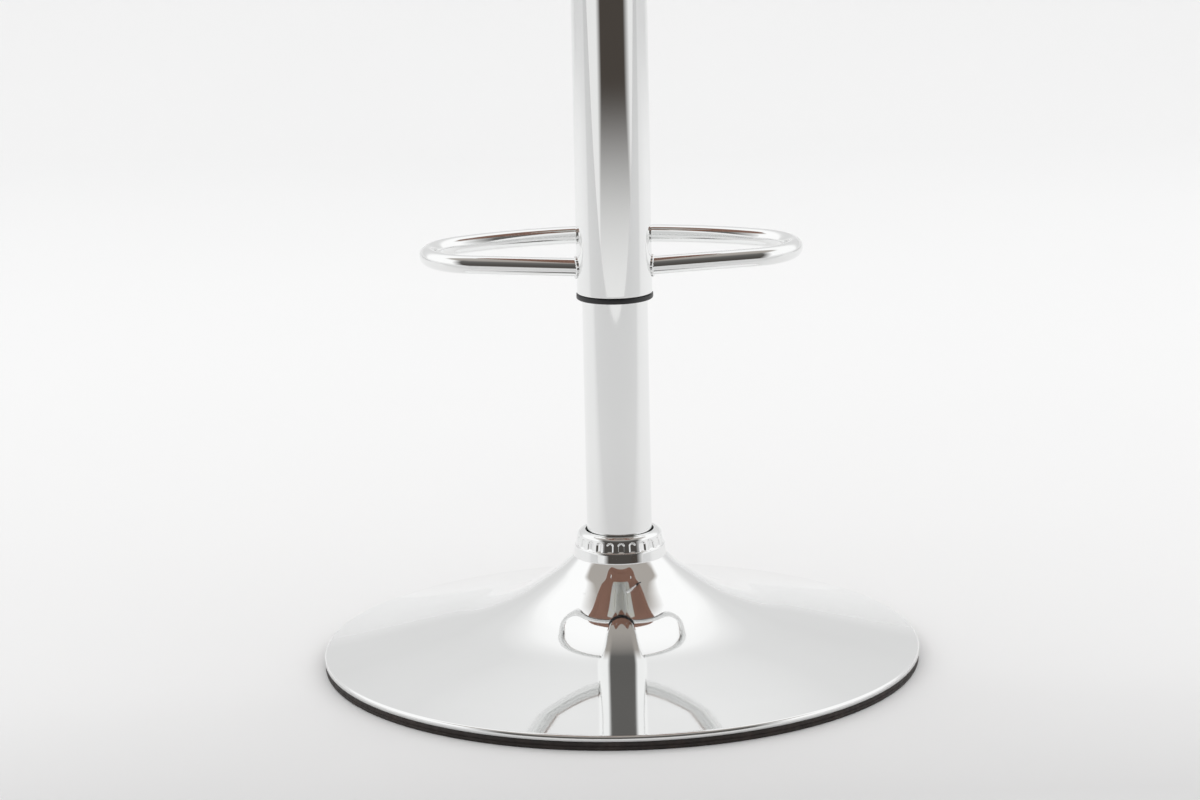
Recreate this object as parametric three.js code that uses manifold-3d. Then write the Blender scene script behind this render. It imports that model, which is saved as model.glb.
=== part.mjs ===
// Gas lift counter stool: a trumpet base, a telescoping chromed column with a welded footrest loop,
// and a padded square seat. Millimetres, +Z up, origin on the floor under the column's axis.
// The sitter faces +Y over the footrest, and the lift lever is at the sitter's right hand, on +X.

import * as THREE from 'three';
import { mergeVertices } from 'three/addons/utils/BufferGeometryUtils.js';
import Module from 'manifold-3d';

const wasm = await Module();
wasm.setup();

const degrees = Math.PI / 180;

// Sizes that several pieces share
const clearance = 0.3; // gap between neighbouring pieces that touch or run on each other
const overrun = 3; // how far a cutting body passes the face that it cuts

// Facet counts
const facets = {
  base: 56,
  column: 40,
  inner: 32,
  collar: 48,
  small: 16,
  tiny: 10,
  barrel: 20,
  ball: 8,
  neckCurve: 8,
  bend: 2,
  arch: 2,
  plateCorner: 3,
  seatCorner: 7,
  loopSteps: 46,
};

// Base: spun chromed trumpet on a rubber ring
const gasket = { height: 6, insetWidth: 0.5, width: 9, lipWidth: 2.4 };
const shell = {
  radius: 205,
  thickness: 1.6,
  skirtHeight: 3.7,
  edgeRadius: 2,
  coneAngle: 13.2 * degrees,
  coneTopRadius: 114,
  coneHandleLength: 37,
  neckRadius: 29.5,
  neckHeight: 75.75,
  neckAngle: 57 * degrees,
  neckHandleLength: 7.2,
  spoutRadius: 27,
  spoutHeight: 83,
  spoutEdgeRadius: 2.4,
};
const hub = { footHeight: 14 };
const brace = { radius: 88, thickness: 2, flangeHeight: 9, footHeight: 16 };

// Fluted collar that covers the joint between the trumpet's neck and the column
const collar = {
  bottomRadius: 31.8,
  bandTopRadius: 30.8,
  bandHeight: 7.8,
  ledgeWidth: 0.8,
  wallTopRadius: 28.7,
  wallHeight: 8,
  lipRadius: 24.6,
  lipHeight: 2.6,
  holeRadius: 23.4,
  thickness: 1.7,
  flutes: 24,
  fluteWidth: 4.6,
  fluteHeight: 7,
  fluteFootHeight: 0.3,
  fluteDepth: 0.8,
};

// Column: the lower tube stands in the hub, and the upper tube slides down over it
const lowerTube = {
  radius: 22.25,
  wallThickness: 2,
  footHeight: 18,
  length: 379,
  taperLength: 44,
  taperDepth: 1.6,
};
const upperTube = { radius: 25.5, wallThickness: 1.5, length: 357.6, chamferWidth: 0.4 };
const exposedTubeLength = 160.8; // bare lower tube above the collar at the stored height
const bushing = {
  flangeHeight: 3.4,
  flangeStandoutWidth: 0.5,
  sleeveLength: 29,
  runningGap: 0.3,
  edgeWidth: 0.7,
};
const guide = { flangeHeight: 2.4, length: 75, wallThickness: 2.2, bandHeight: 10, bands: 2 };
const tubeFoot = { thickness: 3, holeGap: 0.4 };
const centringRing = { height: 18 };

// Gas spring: the rod stands on a ball thrust bearing in the lower tube, and the cylinder rides over it
const cylinder = {
  radius: 14,
  wallThickness: 1.5,
  length: 420,
  taperLength: 45,
  taperDepth: 1,
  plugLength: 55,
  crimpWidth: 3.5,
  crimpThickness: 1.4,
  edgeWidth: 0.8,
  standoutHeight: 3.5,
};
const rodGuide = { length: 24, grooveDepth: 1.2, grooveHeight: 4 };
const rod = { radius: 5, endRadius: 4, endLength: 6, tipChamferWidth: 0.6, grooveDepth: 0.8, topRadius: 3 };
const piston = { height: 16, headroomHeight: 61, grooveDepth: 1.4, grooveHeight: 3, standoutHeight: 2 };
const race = { outerRadius: 14, thickness: 2, innerGap: 0.4 };
const balls = { count: 8, radius: 1.9, pitchRadius: 10.2, cageWidth: 5.2, cageThickness: 1.6 };
const bumpStop = { radius: 11, height: 14, waistDepth: 1.6 };
const rodWasher = { radius: 9, thickness: 1.5 };
const rodClip = { radius: 8, thickness: 1.2, mouthWidth: 6.4 };

// Footrest: one bent tube, welded to both sides of the upper tube
const footrest = {
  tubeRadius: 6.25,
  height: 274,
  halfWidth: 126.5,
  reachLength: 126.5,
  rearRadius: 200,
  cornerRadius: 42,
  sides: 12,
};

// Seat mechanism: pressed pan with a tapered socket, lift lever and release pin
const pan = {
  width: 150,
  cornerRadius: 12,
  thickness: 2.5,
  depth: 26,
  topWidth: 90,
  topCornerRadius: 12,
  bottomWidth: 78,
  bottomCornerRadius: 9,
  screwSpacing: 120,
  socketRadius: 19,
  socketLength: 28,
  windowGap: 1.5, // room on each side of the lever in the pan's window
};
const ear = { thickness: 2.5, width: 14, gap: 15 };
const pivot = { radius: 2.5, headRadius: 3.8, overhangLength: 1.8, distance: 22 };
const pin = {
  radius: 3,
  length: 24,
  headRadius: 5,
  headHeight: 3,
  strokeLength: 3.1,
  crownHeight: 1,
  crownRadius: 2.5,
  crownEdgeHeight: 0.25,
};
const lever = {
  radius: 4,
  innerLength: 3,
  barrelRadius: 6,
  barrelWidth: 13,
  slope: 12 * degrees,
  length: 158,
};
const grip = {
  startDistance: 112,
  length: 58,
  radius: 7.5,
  neckRadius: 5.6,
  shoulderLength: 17,
  middleLength: 35,
  endRadius: 3,
  waistDepth: 0.6,
};
const screw = { radius: 3, headRadius: 6, headHeight: 4, socketRadius: 2.2, socketDepth: 2.2, length: 16 };
const teeNut = { barrelRadius: 4.2, flangeRadius: 9, flangeThickness: 1.5, depth: 9 };

// Seat: plywood board, foam and a leathercloth cover drawn in round the board's edge
const seat = {
  width: 380,
  cornerRadius: 64,
  height: 75,
  edgeHeight: 62,
  clothThickness: 1.2,
  wrapWidth: 26,
  boardThickness: 12,
  drawInDepth: 13,
};
// Side of the cover from the board up to the top seam: inset as shares of the draw-in's depth,
// height as shares of the edge's height
const sideInsetShares = [1, 0.95, 0.3, 0, 0.08, 0.42];
const sideHeightShares = [0.05, 0.2, 0.42, 0.66, 0.88, 1];
// Crown of the top panel: distance in from the seam as shares of the half width,
// rise as shares of the crown's height
const crownInShares = [0.04, 0.15, 0.36, 0.68];
const crownRiseShares = [0.25, 0.56, 0.84, 0.97];

// Places that follow from the sizes above, from the floor up
const shellFoot = gasket.height + clearance;
const rimTop = shellFoot + shell.skirtHeight;
const rimRadius = shell.radius - shell.edgeRadius;
const coneTopHeight = rimTop + Math.tan(shell.coneAngle) * (rimRadius - shell.coneTopRadius);
const tubeBore = lowerTube.radius + clearance;
const hubRadius = shell.spoutRadius - shell.thickness - clearance;
const hubTop = shell.spoutHeight - shell.thickness - clearance;
const lowerTubeTop = lowerTube.footHeight + lowerTube.length;
const lowerTubeInside = lowerTube.radius - lowerTube.wallThickness;
const footTop = lowerTube.footHeight + clearance + tubeFoot.thickness;
const lowerRaceTop = footTop + clearance + race.thickness;
const ballCentre = lowerRaceTop + clearance + balls.radius;
const upperRaceFoot = ballCentre + balls.radius + clearance;
const upperRaceTop = upperRaceFoot + race.thickness;
const rodShoulder = upperRaceTop + clearance;
const bumpStopFoot = rodShoulder;
const washerTop = lowerTube.footHeight;
const clipTop = washerTop - rodWasher.thickness - clearance;
const rodFoot = clipTop - rod.endLength;

const collarFoot = neckHeightAt(collar.bottomRadius) + clearance;
const collarLedge = collarFoot + collar.bandHeight;
const collarWallTop = collarLedge + collar.wallHeight;
const collarTop = collarWallTop + collar.lipHeight;
const bushingFoot = collarTop + exposedTubeLength;
const upperTubeFoot = bushingFoot + bushing.flangeHeight + clearance;
const upperTubeTop = upperTubeFoot + upperTube.length;
const upperTubeInside = upperTube.radius - upperTube.wallThickness;
const panFoot = upperTubeTop + clearance;
const panFloor = panFoot + pan.thickness;
const panTop = panFoot + pan.depth;
const cylinderTop = panFloor + cylinder.standoutHeight;
const cylinderFoot = cylinderTop - cylinder.length;
const cylinderInside = cylinder.radius - cylinder.wallThickness;
const rodGuideFoot = cylinderFoot + cylinder.crimpThickness + clearance;
const rodGuideTop = rodGuideFoot + rodGuide.length;
const pistonFoot = rodGuideTop + piston.headroomHeight;
const pistonTop = pistonFoot + piston.height;
const pinBore = pin.radius + clearance;
const pinHeadFoot = cylinderTop + pin.strokeLength + clearance;
const pinTop = pinHeadFoot + pin.headHeight;
const leverHeight = pinTop + clearance + lever.radius;
const coverFoot = panTop + clearance;
const boardFoot = coverFoot + seat.clothThickness + clearance;
const boardTop = boardFoot + seat.boardThickness;

// Materials, in the colours that the pieces have
const chrome = metal('#d9dbdc', 0.06, 1);
const zinc = metal('#b9bcbd', 0.35, 1);
const steel = metal('#8d8f92', 0.4, 1);
const blackSteel = metal('#1c1c1e', 0.5, 0.6);
const rubber = metal('#17120f', 0.75, 0);
const blackPlastic = metal('#121214', 0.45, 0);
const leathercloth = metal('#74503f', 0.5, 0);
const foam = metal('#d8cfae', 0.95, 0);
const plywood = metal('#b98f5f', 0.7, 0);

function metal(color, roughness, metalness) {
  return new THREE.MeshStandardMaterial({ color, roughness, metalness });
}

// Closed geometry with shared corners, no collapsed triangles and its faces pointing out
function closed(geometry) {
  const bare = new THREE.BufferGeometry();
  bare.setAttribute('position', geometry.getAttribute('position').clone());
  if (geometry.index) bare.setIndex(geometry.index.clone());
  const merged = mergeVertices(bare, clearance / 100);
  const at = merged.getAttribute('position');
  const order = merged.index.array;
  const kept = [];
  let volume = 0;
  const [a, b, c] = [new THREE.Vector3(), new THREE.Vector3(), new THREE.Vector3()];
  for (let i = 0; i < order.length; i += 3) {
    const [p, q, r] = [order[i], order[i + 1], order[i + 2]];
    if (p === q || q === r || r === p) continue;
    kept.push(p, q, r);
    a.fromBufferAttribute(at, p);
    b.fromBufferAttribute(at, q);
    c.fromBufferAttribute(at, r);
    volume += a.dot(b.cross(c));
  }
  if (volume < 0) kept.reverse();
  merged.setIndex(kept);
  return merged;
}

// Surface of revolution about +Z from a closed outline of [radius, height] points
function revolve(outline, segments) {
  const points = outline.map(([radius, height]) => new THREE.Vector2(radius, height));
  points.push(points[0].clone());
  const lathe = new THREE.LatheGeometry(points, segments);
  lathe.rotateX(Math.PI / 2);
  return closed(lathe);
}

// Ring or tube of rectangular section
function ring(inner, outer, foot, top, segments) {
  return revolve([[inner, foot], [outer, foot], [outer, top], [inner, top]], segments);
}

// Prism of a flat shape, drawn in XY and raised from foot to top
function prism(shape, foot, top, curveSegments = facets.bend) {
  const solid = new THREE.ExtrudeGeometry(shape, { depth: top - foot, bevelEnabled: false, curveSegments });
  solid.translate(0, 0, foot);
  return closed(solid);
}

// Plain round bar between two points
function bar(start, end, radius, segments) {
  const line = new THREE.LineCurve3(start, end);
  const circle = new THREE.Shape().absarc(0, 0, radius, 0, 2 * Math.PI);
  return closed(
    new THREE.ExtrudeGeometry(circle, { extrudePath: line, steps: 1, curveSegments: segments / 2 }),
  );
}

function toManifold(geometry) {
  const vertProperties = new Float32Array(geometry.getAttribute('position').array);
  const triVerts = new Uint32Array(geometry.index.array);
  return new wasm.Manifold(new wasm.Mesh({ numProp: 3, vertProperties, triVerts }));
}

function fromManifold(solid) {
  const { vertProperties, triVerts, numProp } = solid.getMesh();
  const geometry = new THREE.BufferGeometry();
  const position = new Float32Array((vertProperties.length / numProp) * 3);
  for (let i = 0; i < position.length / 3; i += 1) {
    position.set(vertProperties.subarray(i * numProp, i * numProp + 3), i * 3);
  }
  geometry.setAttribute('position', new THREE.BufferAttribute(position, 3));
  geometry.setIndex(new THREE.BufferAttribute(new Uint32Array(triVerts), 1));
  return geometry;
}

function join(...pieces) {
  return fromManifold(pieces.map(toManifold).reduce((whole, piece) => whole.add(piece)));
}

function cut(body, ...cutters) {
  const whole = toManifold(body);
  return fromManifold(cutters.map(toManifold).reduce((rest, cutter) => rest.subtract(cutter), whole));
}

// Open polyline moved sideways, to its left, by a distance
function offsetLine(points, distance) {
  return points.map((point, i) => {
    const before = points[Math.max(i - 1, 0)];
    const after = points[Math.min(i + 1, points.length - 1)];
    const into = point.clone().sub(before);
    const out = after.clone().sub(point);
    if (i === 0) into.copy(out);
    if (i === points.length - 1) out.copy(into);
    into.normalize();
    out.normalize();
    const along = into.clone().add(out).normalize();
    const left = new THREE.Vector2(-along.y, along.x);
    return point.clone().addScaledVector(left, distance / along.dot(out));
  });
}

// Curve of the trumpet between its neck and its cone, as a cubic with handles along both slopes
function neckCurve() {
  const start = new THREE.Vector2(shell.neckRadius, shell.neckHeight);
  const end = new THREE.Vector2(shell.coneTopRadius, coneTopHeight);
  const startHandle = new THREE.Vector2(
    start.x + shell.neckHandleLength,
    start.y - shell.neckHandleLength * Math.tan(shell.neckAngle),
  );
  const endHandle = new THREE.Vector2(
    end.x - shell.coneHandleLength,
    end.y + shell.coneHandleLength * Math.tan(shell.coneAngle),
  );
  return new THREE.CubicBezierCurve(start, startHandle, endHandle, end);
}

// Height of the trumpet's outer face where it has this radius
function neckHeightAt(radius) {
  const points = neckCurve().getPoints(facets.neckCurve);
  const next = points.findIndex((point) => point.x >= radius);
  if (next < 1) return shell.neckHeight + (shell.neckRadius - radius) * Math.tan(shell.neckAngle);
  const [low, high] = [points[next - 1], points[next]];
  const share = (radius - low.x) / (high.x - low.x);
  return low.y + (high.y - low.y) * share;
}

// Outer face of the trumpet, from the hole in its spout down to the foot of its skirt
function shellFace() {
  const spoutFoot = shell.neckHeight + (shell.neckRadius - shell.spoutRadius) * Math.tan(shell.neckAngle);
  const path = new THREE.Path();
  path.moveTo(tubeBore, shell.spoutHeight);
  path.lineTo(shell.spoutRadius - shell.spoutEdgeRadius, shell.spoutHeight);
  path.quadraticCurveTo(
    shell.spoutRadius, shell.spoutHeight, shell.spoutRadius, shell.spoutHeight - shell.spoutEdgeRadius,
  );
  path.quadraticCurveTo(shell.spoutRadius, spoutFoot, shell.neckRadius, shell.neckHeight);
  const spout = path.getPoints(1);
  const neck = neckCurve().getPoints(facets.neckCurve).slice(1);
  const rim = new THREE.Path();
  rim.moveTo(rimRadius, rimTop);
  rim.quadraticCurveTo(shell.radius, rimTop, shell.radius, rimTop - shell.edgeRadius);
  rim.lineTo(shell.radius, shellFoot);
  return [...spout, ...neck, ...rim.getPoints(facets.bend)];
}

function baseShell() {
  const outside = shellFace();
  const inside = offsetLine(outside, -shell.thickness);
  return revolve([...outside, ...inside.reverse()].map(({ x, y }) => [x, y]), facets.base);
}

// Rubber ring with a lip that stands inside the skirt
function baseGasket() {
  const outer = shell.radius - gasket.insetWidth;
  const lipOuter = shell.radius - shell.thickness - clearance;
  const lipTop = rimTop - shell.thickness - 2 * clearance;
  return revolve(
    [
      [outer - gasket.width, 0],
      [outer, 0],
      [outer, gasket.height],
      [lipOuter, gasket.height],
      [lipOuter, lipTop],
      [lipOuter - gasket.lipWidth, lipTop],
      [lipOuter - gasket.lipWidth, gasket.height],
      [outer - gasket.width, gasket.height],
    ],
    facets.base,
  );
}

// Radius of the lower tube's outside at a height, with its taper at the foot
function lowerTubeRadiusAt(height) {
  const share = THREE.MathUtils.clamp((height - lowerTube.footHeight) / lowerTube.taperLength, 0, 1);
  return lowerTube.radius - lowerTube.taperDepth * (1 - share);
}

// Socket tube under the trumpet's neck, bored to the lower tube's taper
function hubSocket() {
  const taperTop = lowerTube.footHeight + lowerTube.taperLength;
  const footBore = lowerTubeRadiusAt(lowerTube.footHeight) + clearance;
  return revolve(
    [
      [footBore, hub.footHeight],
      [hubRadius, hub.footHeight],
      [hubRadius, hubTop - shell.spoutEdgeRadius],
      [hubRadius - shell.spoutEdgeRadius, hubTop],
      [tubeBore, hubTop],
      [tubeBore, taperTop],
      [footBore, lowerTube.footHeight],
    ],
    facets.inner,
  );
}

// Pressed dish that props the trumpet off the hub
function baseBrace() {
  const inner = hubRadius + clearance;
  const underShell = neckHeightAt(brace.radius) - (shell.thickness + clearance) / Math.cos(shell.coneAngle);
  const rimHeight = underShell - shell.thickness;
  const flangeTop = brace.footHeight + brace.flangeHeight;
  const line = [
    new THREE.Vector2(inner, brace.footHeight),
    new THREE.Vector2(inner, flangeTop - brace.thickness),
    new THREE.Vector2(inner + brace.thickness, flangeTop),
    new THREE.Vector2(brace.radius, rimHeight),
  ];
  const under = offsetLine(line, -brace.thickness);
  return revolve([...line, ...under.reverse()].map(({ x, y }) => [x, y]), facets.inner);
}

// Arch that one flute of the collar is cut with: flat foot, straight sides and a half-round head
function fluteCutter(index) {
  const half = collar.fluteWidth / 2;
  const arch = new THREE.Shape();
  arch.moveTo(-half, 0);
  arch.lineTo(half, 0);
  arch.lineTo(half, collar.fluteHeight - half);
  arch.absarc(0, collar.fluteHeight - half, half, 0, Math.PI);
  const wallFootRadius = collar.bandTopRadius - collar.ledgeWidth;
  const lean = Math.atan((wallFootRadius - collar.wallTopRadius) / collar.wallHeight);
  const cutter = prism(arch, -collar.fluteDepth, overrun, facets.arch);
  const across = new THREE.Vector3(0, 1, 0);
  const up = new THREE.Vector3(-Math.sin(lean), 0, Math.cos(lean));
  const out = new THREE.Vector3(Math.cos(lean), 0, Math.sin(lean));
  const place = new THREE.Matrix4().makeBasis(across, up, out);
  place.setPosition(wallFootRadius, 0, collarLedge);
  const along = new THREE.Matrix4().makeTranslation(0, collar.fluteFootHeight, 0);
  const turn = new THREE.Matrix4().makeRotationZ((2 * Math.PI * index) / collar.flutes);
  cutter.applyMatrix4(turn.multiply(place).multiply(along));
  return cutter;
}

// Plated collar: plain band, ledge, fluted wall, rounded shoulder and a lip round the tube
function flutedCollar() {
  const wallFoot = collar.bandTopRadius - collar.ledgeWidth;
  const innerFoot = collar.bottomRadius - collar.thickness;
  const innerTop = collar.wallTopRadius - collar.thickness;
  const shoulder = new THREE.Path();
  shoulder.moveTo(collar.wallTopRadius, collarWallTop);
  shoulder.quadraticCurveTo(
    collar.wallTopRadius - collar.ledgeWidth / 2,
    collarTop - collar.lipHeight / 4,
    collar.lipRadius,
    collarTop,
  );
  const body = revolve(
    [
      [innerFoot, neckHeightAt(innerFoot) + clearance],
      [collar.bottomRadius, collarFoot],
      [collar.bandTopRadius, collarLedge],
      [wallFoot, collarLedge],
      ...shoulder.getPoints(facets.bend).map(({ x, y }) => [x, y]),
      [collar.holeRadius, collarTop],
      [collar.holeRadius, collarTop - collar.thickness],
      [innerTop, collarWallTop - collar.thickness / 2],
      [wallFoot - collar.thickness, collarLedge],
    ],
    facets.collar,
  );
  const cutters = Array.from({ length: collar.flutes }, (_, index) => fluteCutter(index));
  return cut(body, ...cutters);
}

function lowerTubeSolid() {
  const foot = lowerTube.radius - lowerTube.taperDepth;
  const taperTop = lowerTube.footHeight + lowerTube.taperLength;
  return revolve(
    [
      [foot - lowerTube.wallThickness, lowerTube.footHeight],
      [foot, lowerTube.footHeight],
      [lowerTube.radius, taperTop],
      [lowerTube.radius, lowerTubeTop],
      [lowerTubeInside, lowerTubeTop],
      [lowerTubeInside, taperTop],
    ],
    facets.column,
  );
}

// Disc welded in the lower tube's foot, which carries the bearing
function tubeFootPlate() {
  const outer = lowerTube.radius - lowerTube.taperDepth - lowerTube.wallThickness - clearance;
  const hole = rod.endRadius + tubeFoot.holeGap;
  return ring(hole, outer, lowerTube.footHeight + clearance, footTop, facets.small);
}

// Guide sleeve in the lower tube's mouth: a thin sleeve with a flange and bands that bear on the tube
function guideBush() {
  const bore = cylinder.radius + clearance;
  const sleeve = bore + guide.wallThickness;
  const band = lowerTubeInside - clearance;
  const flangeFoot = lowerTubeTop + clearance;
  const flangeTop = flangeFoot + guide.flangeHeight;
  const foot = flangeFoot - guide.length;
  const pitch = (guide.length - guide.bandHeight) / (guide.bands - 1);
  const outline = [[bore, foot]];
  for (let i = 0; i < guide.bands; i += 1) {
    const bandFoot = foot + pitch * i;
    const last = i === guide.bands - 1;
    const bandTop = bandFoot + guide.bandHeight;
    outline.push([i ? sleeve : band, bandFoot], [band, bandFoot]);
    outline.push([band, bandTop], [last ? lowerTube.radius : sleeve, bandTop]);
  }
  outline.push([lowerTube.radius, flangeTop], [bore, flangeTop]);
  return revolve(dropRepeats(outline), facets.inner);
}

function dropRepeats(outline) {
  return outline.filter(([radius, height], i) => {
    const [lastRadius, lastHeight] = outline[(i + outline.length - 1) % outline.length];
    return radius !== lastRadius || height !== lastHeight;
  });
}

// Black ring at the upper tube's foot, with a sleeve that slides on the lower tube
function bottomBushing() {
  const bore = lowerTube.radius + bushing.runningGap;
  const flange = upperTube.radius + bushing.flangeStandoutWidth;
  const sleeve = upperTubeInside - clearance;
  const flangeTop = bushingFoot + bushing.flangeHeight;
  return revolve(
    [
      [bore, bushingFoot],
      [flange - bushing.edgeWidth, bushingFoot],
      [flange, bushingFoot + bushing.edgeWidth],
      [flange, flangeTop],
      [sleeve, flangeTop],
      [sleeve, flangeTop + bushing.sleeveLength],
      [bore, flangeTop + bushing.sleeveLength],
    ],
    facets.column,
  );
}

function upperTubeSolid() {
  return revolve(
    [
      [upperTubeInside, upperTubeFoot],
      [upperTube.radius - upperTube.chamferWidth, upperTubeFoot],
      [upperTube.radius, upperTubeFoot + upperTube.chamferWidth],
      [upperTube.radius, upperTubeTop - upperTube.chamferWidth],
      [upperTube.radius - upperTube.chamferWidth, upperTubeTop],
      [upperTubeInside, upperTubeTop],
    ],
    facets.column,
  );
}

// The footrest's centre line in plan: a straight arm, a corner, the shallow rear arc, and back the same way
function footrestOutline() {
  const path = new THREE.Path();
  const { halfWidth, reachLength, rearRadius, cornerRadius } = footrest;
  const rearCentre = reachLength - rearRadius;
  const cornerX = halfWidth - cornerRadius;
  const cornerY = rearCentre + Math.sqrt((rearRadius - cornerRadius) ** 2 - cornerX ** 2);
  const root = upperTube.radius;
  const span = Math.hypot(cornerX - root, cornerY);
  const armAngle = Math.atan2(cornerY, cornerX - root) - Math.asin(cornerRadius / span);
  const rearAngle = Math.atan2(cornerY - rearCentre, cornerX);
  const armLength = Math.sqrt(span ** 2 - cornerRadius ** 2);
  path.moveTo(root, 0);
  path.lineTo(root + armLength * Math.cos(armAngle), armLength * Math.sin(armAngle));
  path.absarc(cornerX, cornerY, cornerRadius, armAngle - Math.PI / 2, rearAngle);
  path.absarc(0, rearCentre, rearRadius, rearAngle, Math.PI - rearAngle);
  path.absarc(-cornerX, cornerY, cornerRadius, Math.PI - rearAngle, 1.5 * Math.PI - armAngle);
  path.lineTo(-root, 0);
  return path;
}

class PlanCurve extends THREE.Curve {
  constructor(plan, height) {
    super();
    this.plan = plan;
    this.height = height;
  }

  getPoint(t, target = new THREE.Vector3()) {
    const { x, y } = this.plan.getPointAt(THREE.MathUtils.clamp(t, 0, 1));
    return target.set(x, y, this.height);
  }
}

// Bent tube, with both ends shaped to the column's round side
function footrestLoop() {
  const section = new THREE.Shape().absarc(0, 0, footrest.tubeRadius, 0, 2 * Math.PI);
  const loop = new THREE.ExtrudeGeometry(section, {
    extrudePath: new PlanCurve(footrestOutline(), footrest.height),
    steps: facets.loopSteps,
    curveSegments: footrest.sides / 2,
  });
  const reach = footrest.tubeRadius + overrun;
  const column = ring(
    0, upperTube.radius + clearance, footrest.height - reach, footrest.height + reach, facets.column,
  );
  return cut(closed(loop), column);
}

// Radius of the cylinder's outside at a height, with its taper at the top
function cylinderRadiusAt(height) {
  const taperFoot = cylinderTop - cylinder.taperLength;
  const share = THREE.MathUtils.clamp((height - taperFoot) / cylinder.taperLength, 0, 1);
  return cylinder.radius - cylinder.taperDepth * share;
}

function gasCylinder() {
  const taperFoot = cylinderTop - cylinder.taperLength;
  const plugFoot = cylinderTop - cylinder.plugLength;
  const crimpTop = cylinderFoot + cylinder.crimpThickness;
  const topRadius = cylinderRadiusAt(cylinderTop);
  return revolve(
    [
      [cylinderInside - cylinder.crimpWidth, cylinderFoot],
      [cylinder.radius - cylinder.edgeWidth, cylinderFoot],
      [cylinder.radius, cylinderFoot + cylinder.edgeWidth],
      [cylinder.radius, taperFoot],
      [topRadius, cylinderTop],
      [pinBore, cylinderTop],
      [pinBore, plugFoot],
      [cylinderInside, plugFoot],
      [cylinderInside, crimpTop],
      [cylinderInside - cylinder.crimpWidth, crimpTop],
    ],
    facets.inner,
  );
}

// Turned plug with one groove round its outside
function groovedPlug(bore, outer, foot, top, grooveDepth, grooveHeight) {
  const grooveFoot = (foot + top - grooveHeight) / 2;
  const groove = outer - grooveDepth;
  return revolve(
    [
      [bore, foot],
      [outer, foot],
      [outer, grooveFoot],
      [groove, grooveFoot],
      [groove, grooveFoot + grooveHeight],
      [outer, grooveFoot + grooveHeight],
      [outer, top],
      [bore, top],
    ],
    facets.small,
  );
}

function rodGuideSeal() {
  const outer = cylinderInside - clearance;
  return groovedPlug(
    rod.radius + clearance, outer, rodGuideFoot, rodGuideTop, rodGuide.grooveDepth, rodGuide.grooveHeight,
  );
}

function pistonHead() {
  const outer = cylinderInside - clearance;
  return groovedPlug(
    rod.topRadius + clearance, outer, pistonFoot, pistonTop, piston.grooveDepth, piston.grooveHeight,
  );
}

function pistonRod() {
  const grooveTop = clipTop + clearance / 2;
  const grooveFoot = clipTop - rodClip.thickness - clearance / 2;
  const shoulderTop = pistonFoot - clearance;
  const groove = rod.endRadius - rod.grooveDepth;
  const rodTop = pistonTop + piston.standoutHeight;
  return revolve(
    [
      [0, rodFoot],
      [rod.endRadius - rod.tipChamferWidth, rodFoot],
      [rod.endRadius, rodFoot + rod.tipChamferWidth],
      [rod.endRadius, grooveFoot],
      [groove, grooveFoot],
      [groove, grooveTop],
      [rod.endRadius, grooveTop],
      [rod.endRadius, rodShoulder],
      [rod.radius, rodShoulder],
      [rod.radius, shoulderTop],
      [rod.topRadius, shoulderTop],
      [rod.topRadius, rodTop],
      [0, rodTop],
    ],
    facets.small,
  );
}

function bearingRace(foot) {
  return ring(rod.endRadius + race.innerGap, race.outerRadius, foot, foot + race.thickness, facets.small);
}

// Flat cage ring with its balls standing through it
function ballCage() {
  const half = balls.cageWidth / 2;
  const cageFoot = ballCentre - balls.cageThickness / 2;
  const cageTop = cageFoot + balls.cageThickness;
  const cage = ring(balls.pitchRadius - half, balls.pitchRadius + half, cageFoot, cageTop, facets.small);
  const solids = Array.from({ length: balls.count }, (_, index) => {
    const angle = (2 * Math.PI * index) / balls.count;
    const ball = new THREE.SphereGeometry(balls.radius, facets.ball, facets.ball / 2);
    ball.rotateX(Math.PI / 2);
    ball.translate(balls.pitchRadius * Math.cos(angle), balls.pitchRadius * Math.sin(angle), ballCentre);
    return closed(ball);
  });
  return join(cage, ...solids);
}

function rubberBumpStop() {
  const top = bumpStopFoot + bumpStop.height;
  const bore = rod.radius + clearance;
  const middle = (bumpStopFoot + top) / 2;
  return revolve(
    [
      [bore, bumpStopFoot],
      [bumpStop.radius, bumpStopFoot],
      [bumpStop.radius - bumpStop.waistDepth, middle],
      [bumpStop.radius, top],
      [bore, top],
    ],
    facets.small,
  );
}

function rodWasherRing() {
  const bore = rod.endRadius + race.innerGap;
  const foot = washerTop - rodWasher.thickness;
  return ring(bore, rodWasher.radius, foot, washerTop - clearance / 2, facets.small);
}

// Spring clip in the rod's groove, open on one side
function rodClipRing() {
  const foot = clipTop - rodClip.thickness;
  const inner = rod.endRadius - rod.grooveDepth + clearance;
  const body = ring(inner, rodClip.radius, foot, clipTop, facets.small);
  const half = rodClip.mouthWidth / 2;
  const mouth = new THREE.Shape();
  mouth.moveTo(0, -half);
  mouth.lineTo(rodClip.radius + overrun, -half);
  mouth.lineTo(rodClip.radius + overrun, half);
  mouth.lineTo(0, half);
  return cut(body, prism(mouth, foot - overrun, clipTop + overrun));
}

// Square with rounded corners, as a ring of points at one height
function squareRing(width, corner, height, perCorner = facets.seatCorner) {
  const points = [];
  const reach = width / 2 - corner;
  for (let quarter = 0; quarter < 4; quarter += 1) {
    const start = quarter * (Math.PI / 2);
    const signX = quarter === 0 || quarter === 3 ? 1 : -1;
    const signY = quarter < 2 ? 1 : -1;
    for (let i = 0; i <= perCorner; i += 1) {
      const angle = start + ((Math.PI / 2) * i) / perCorner;
      const x = signX * reach + corner * Math.cos(angle);
      const y = signY * reach + corner * Math.sin(angle);
      points.push(new THREE.Vector3(x, y, height));
    }
  }
  return points;
}

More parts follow.
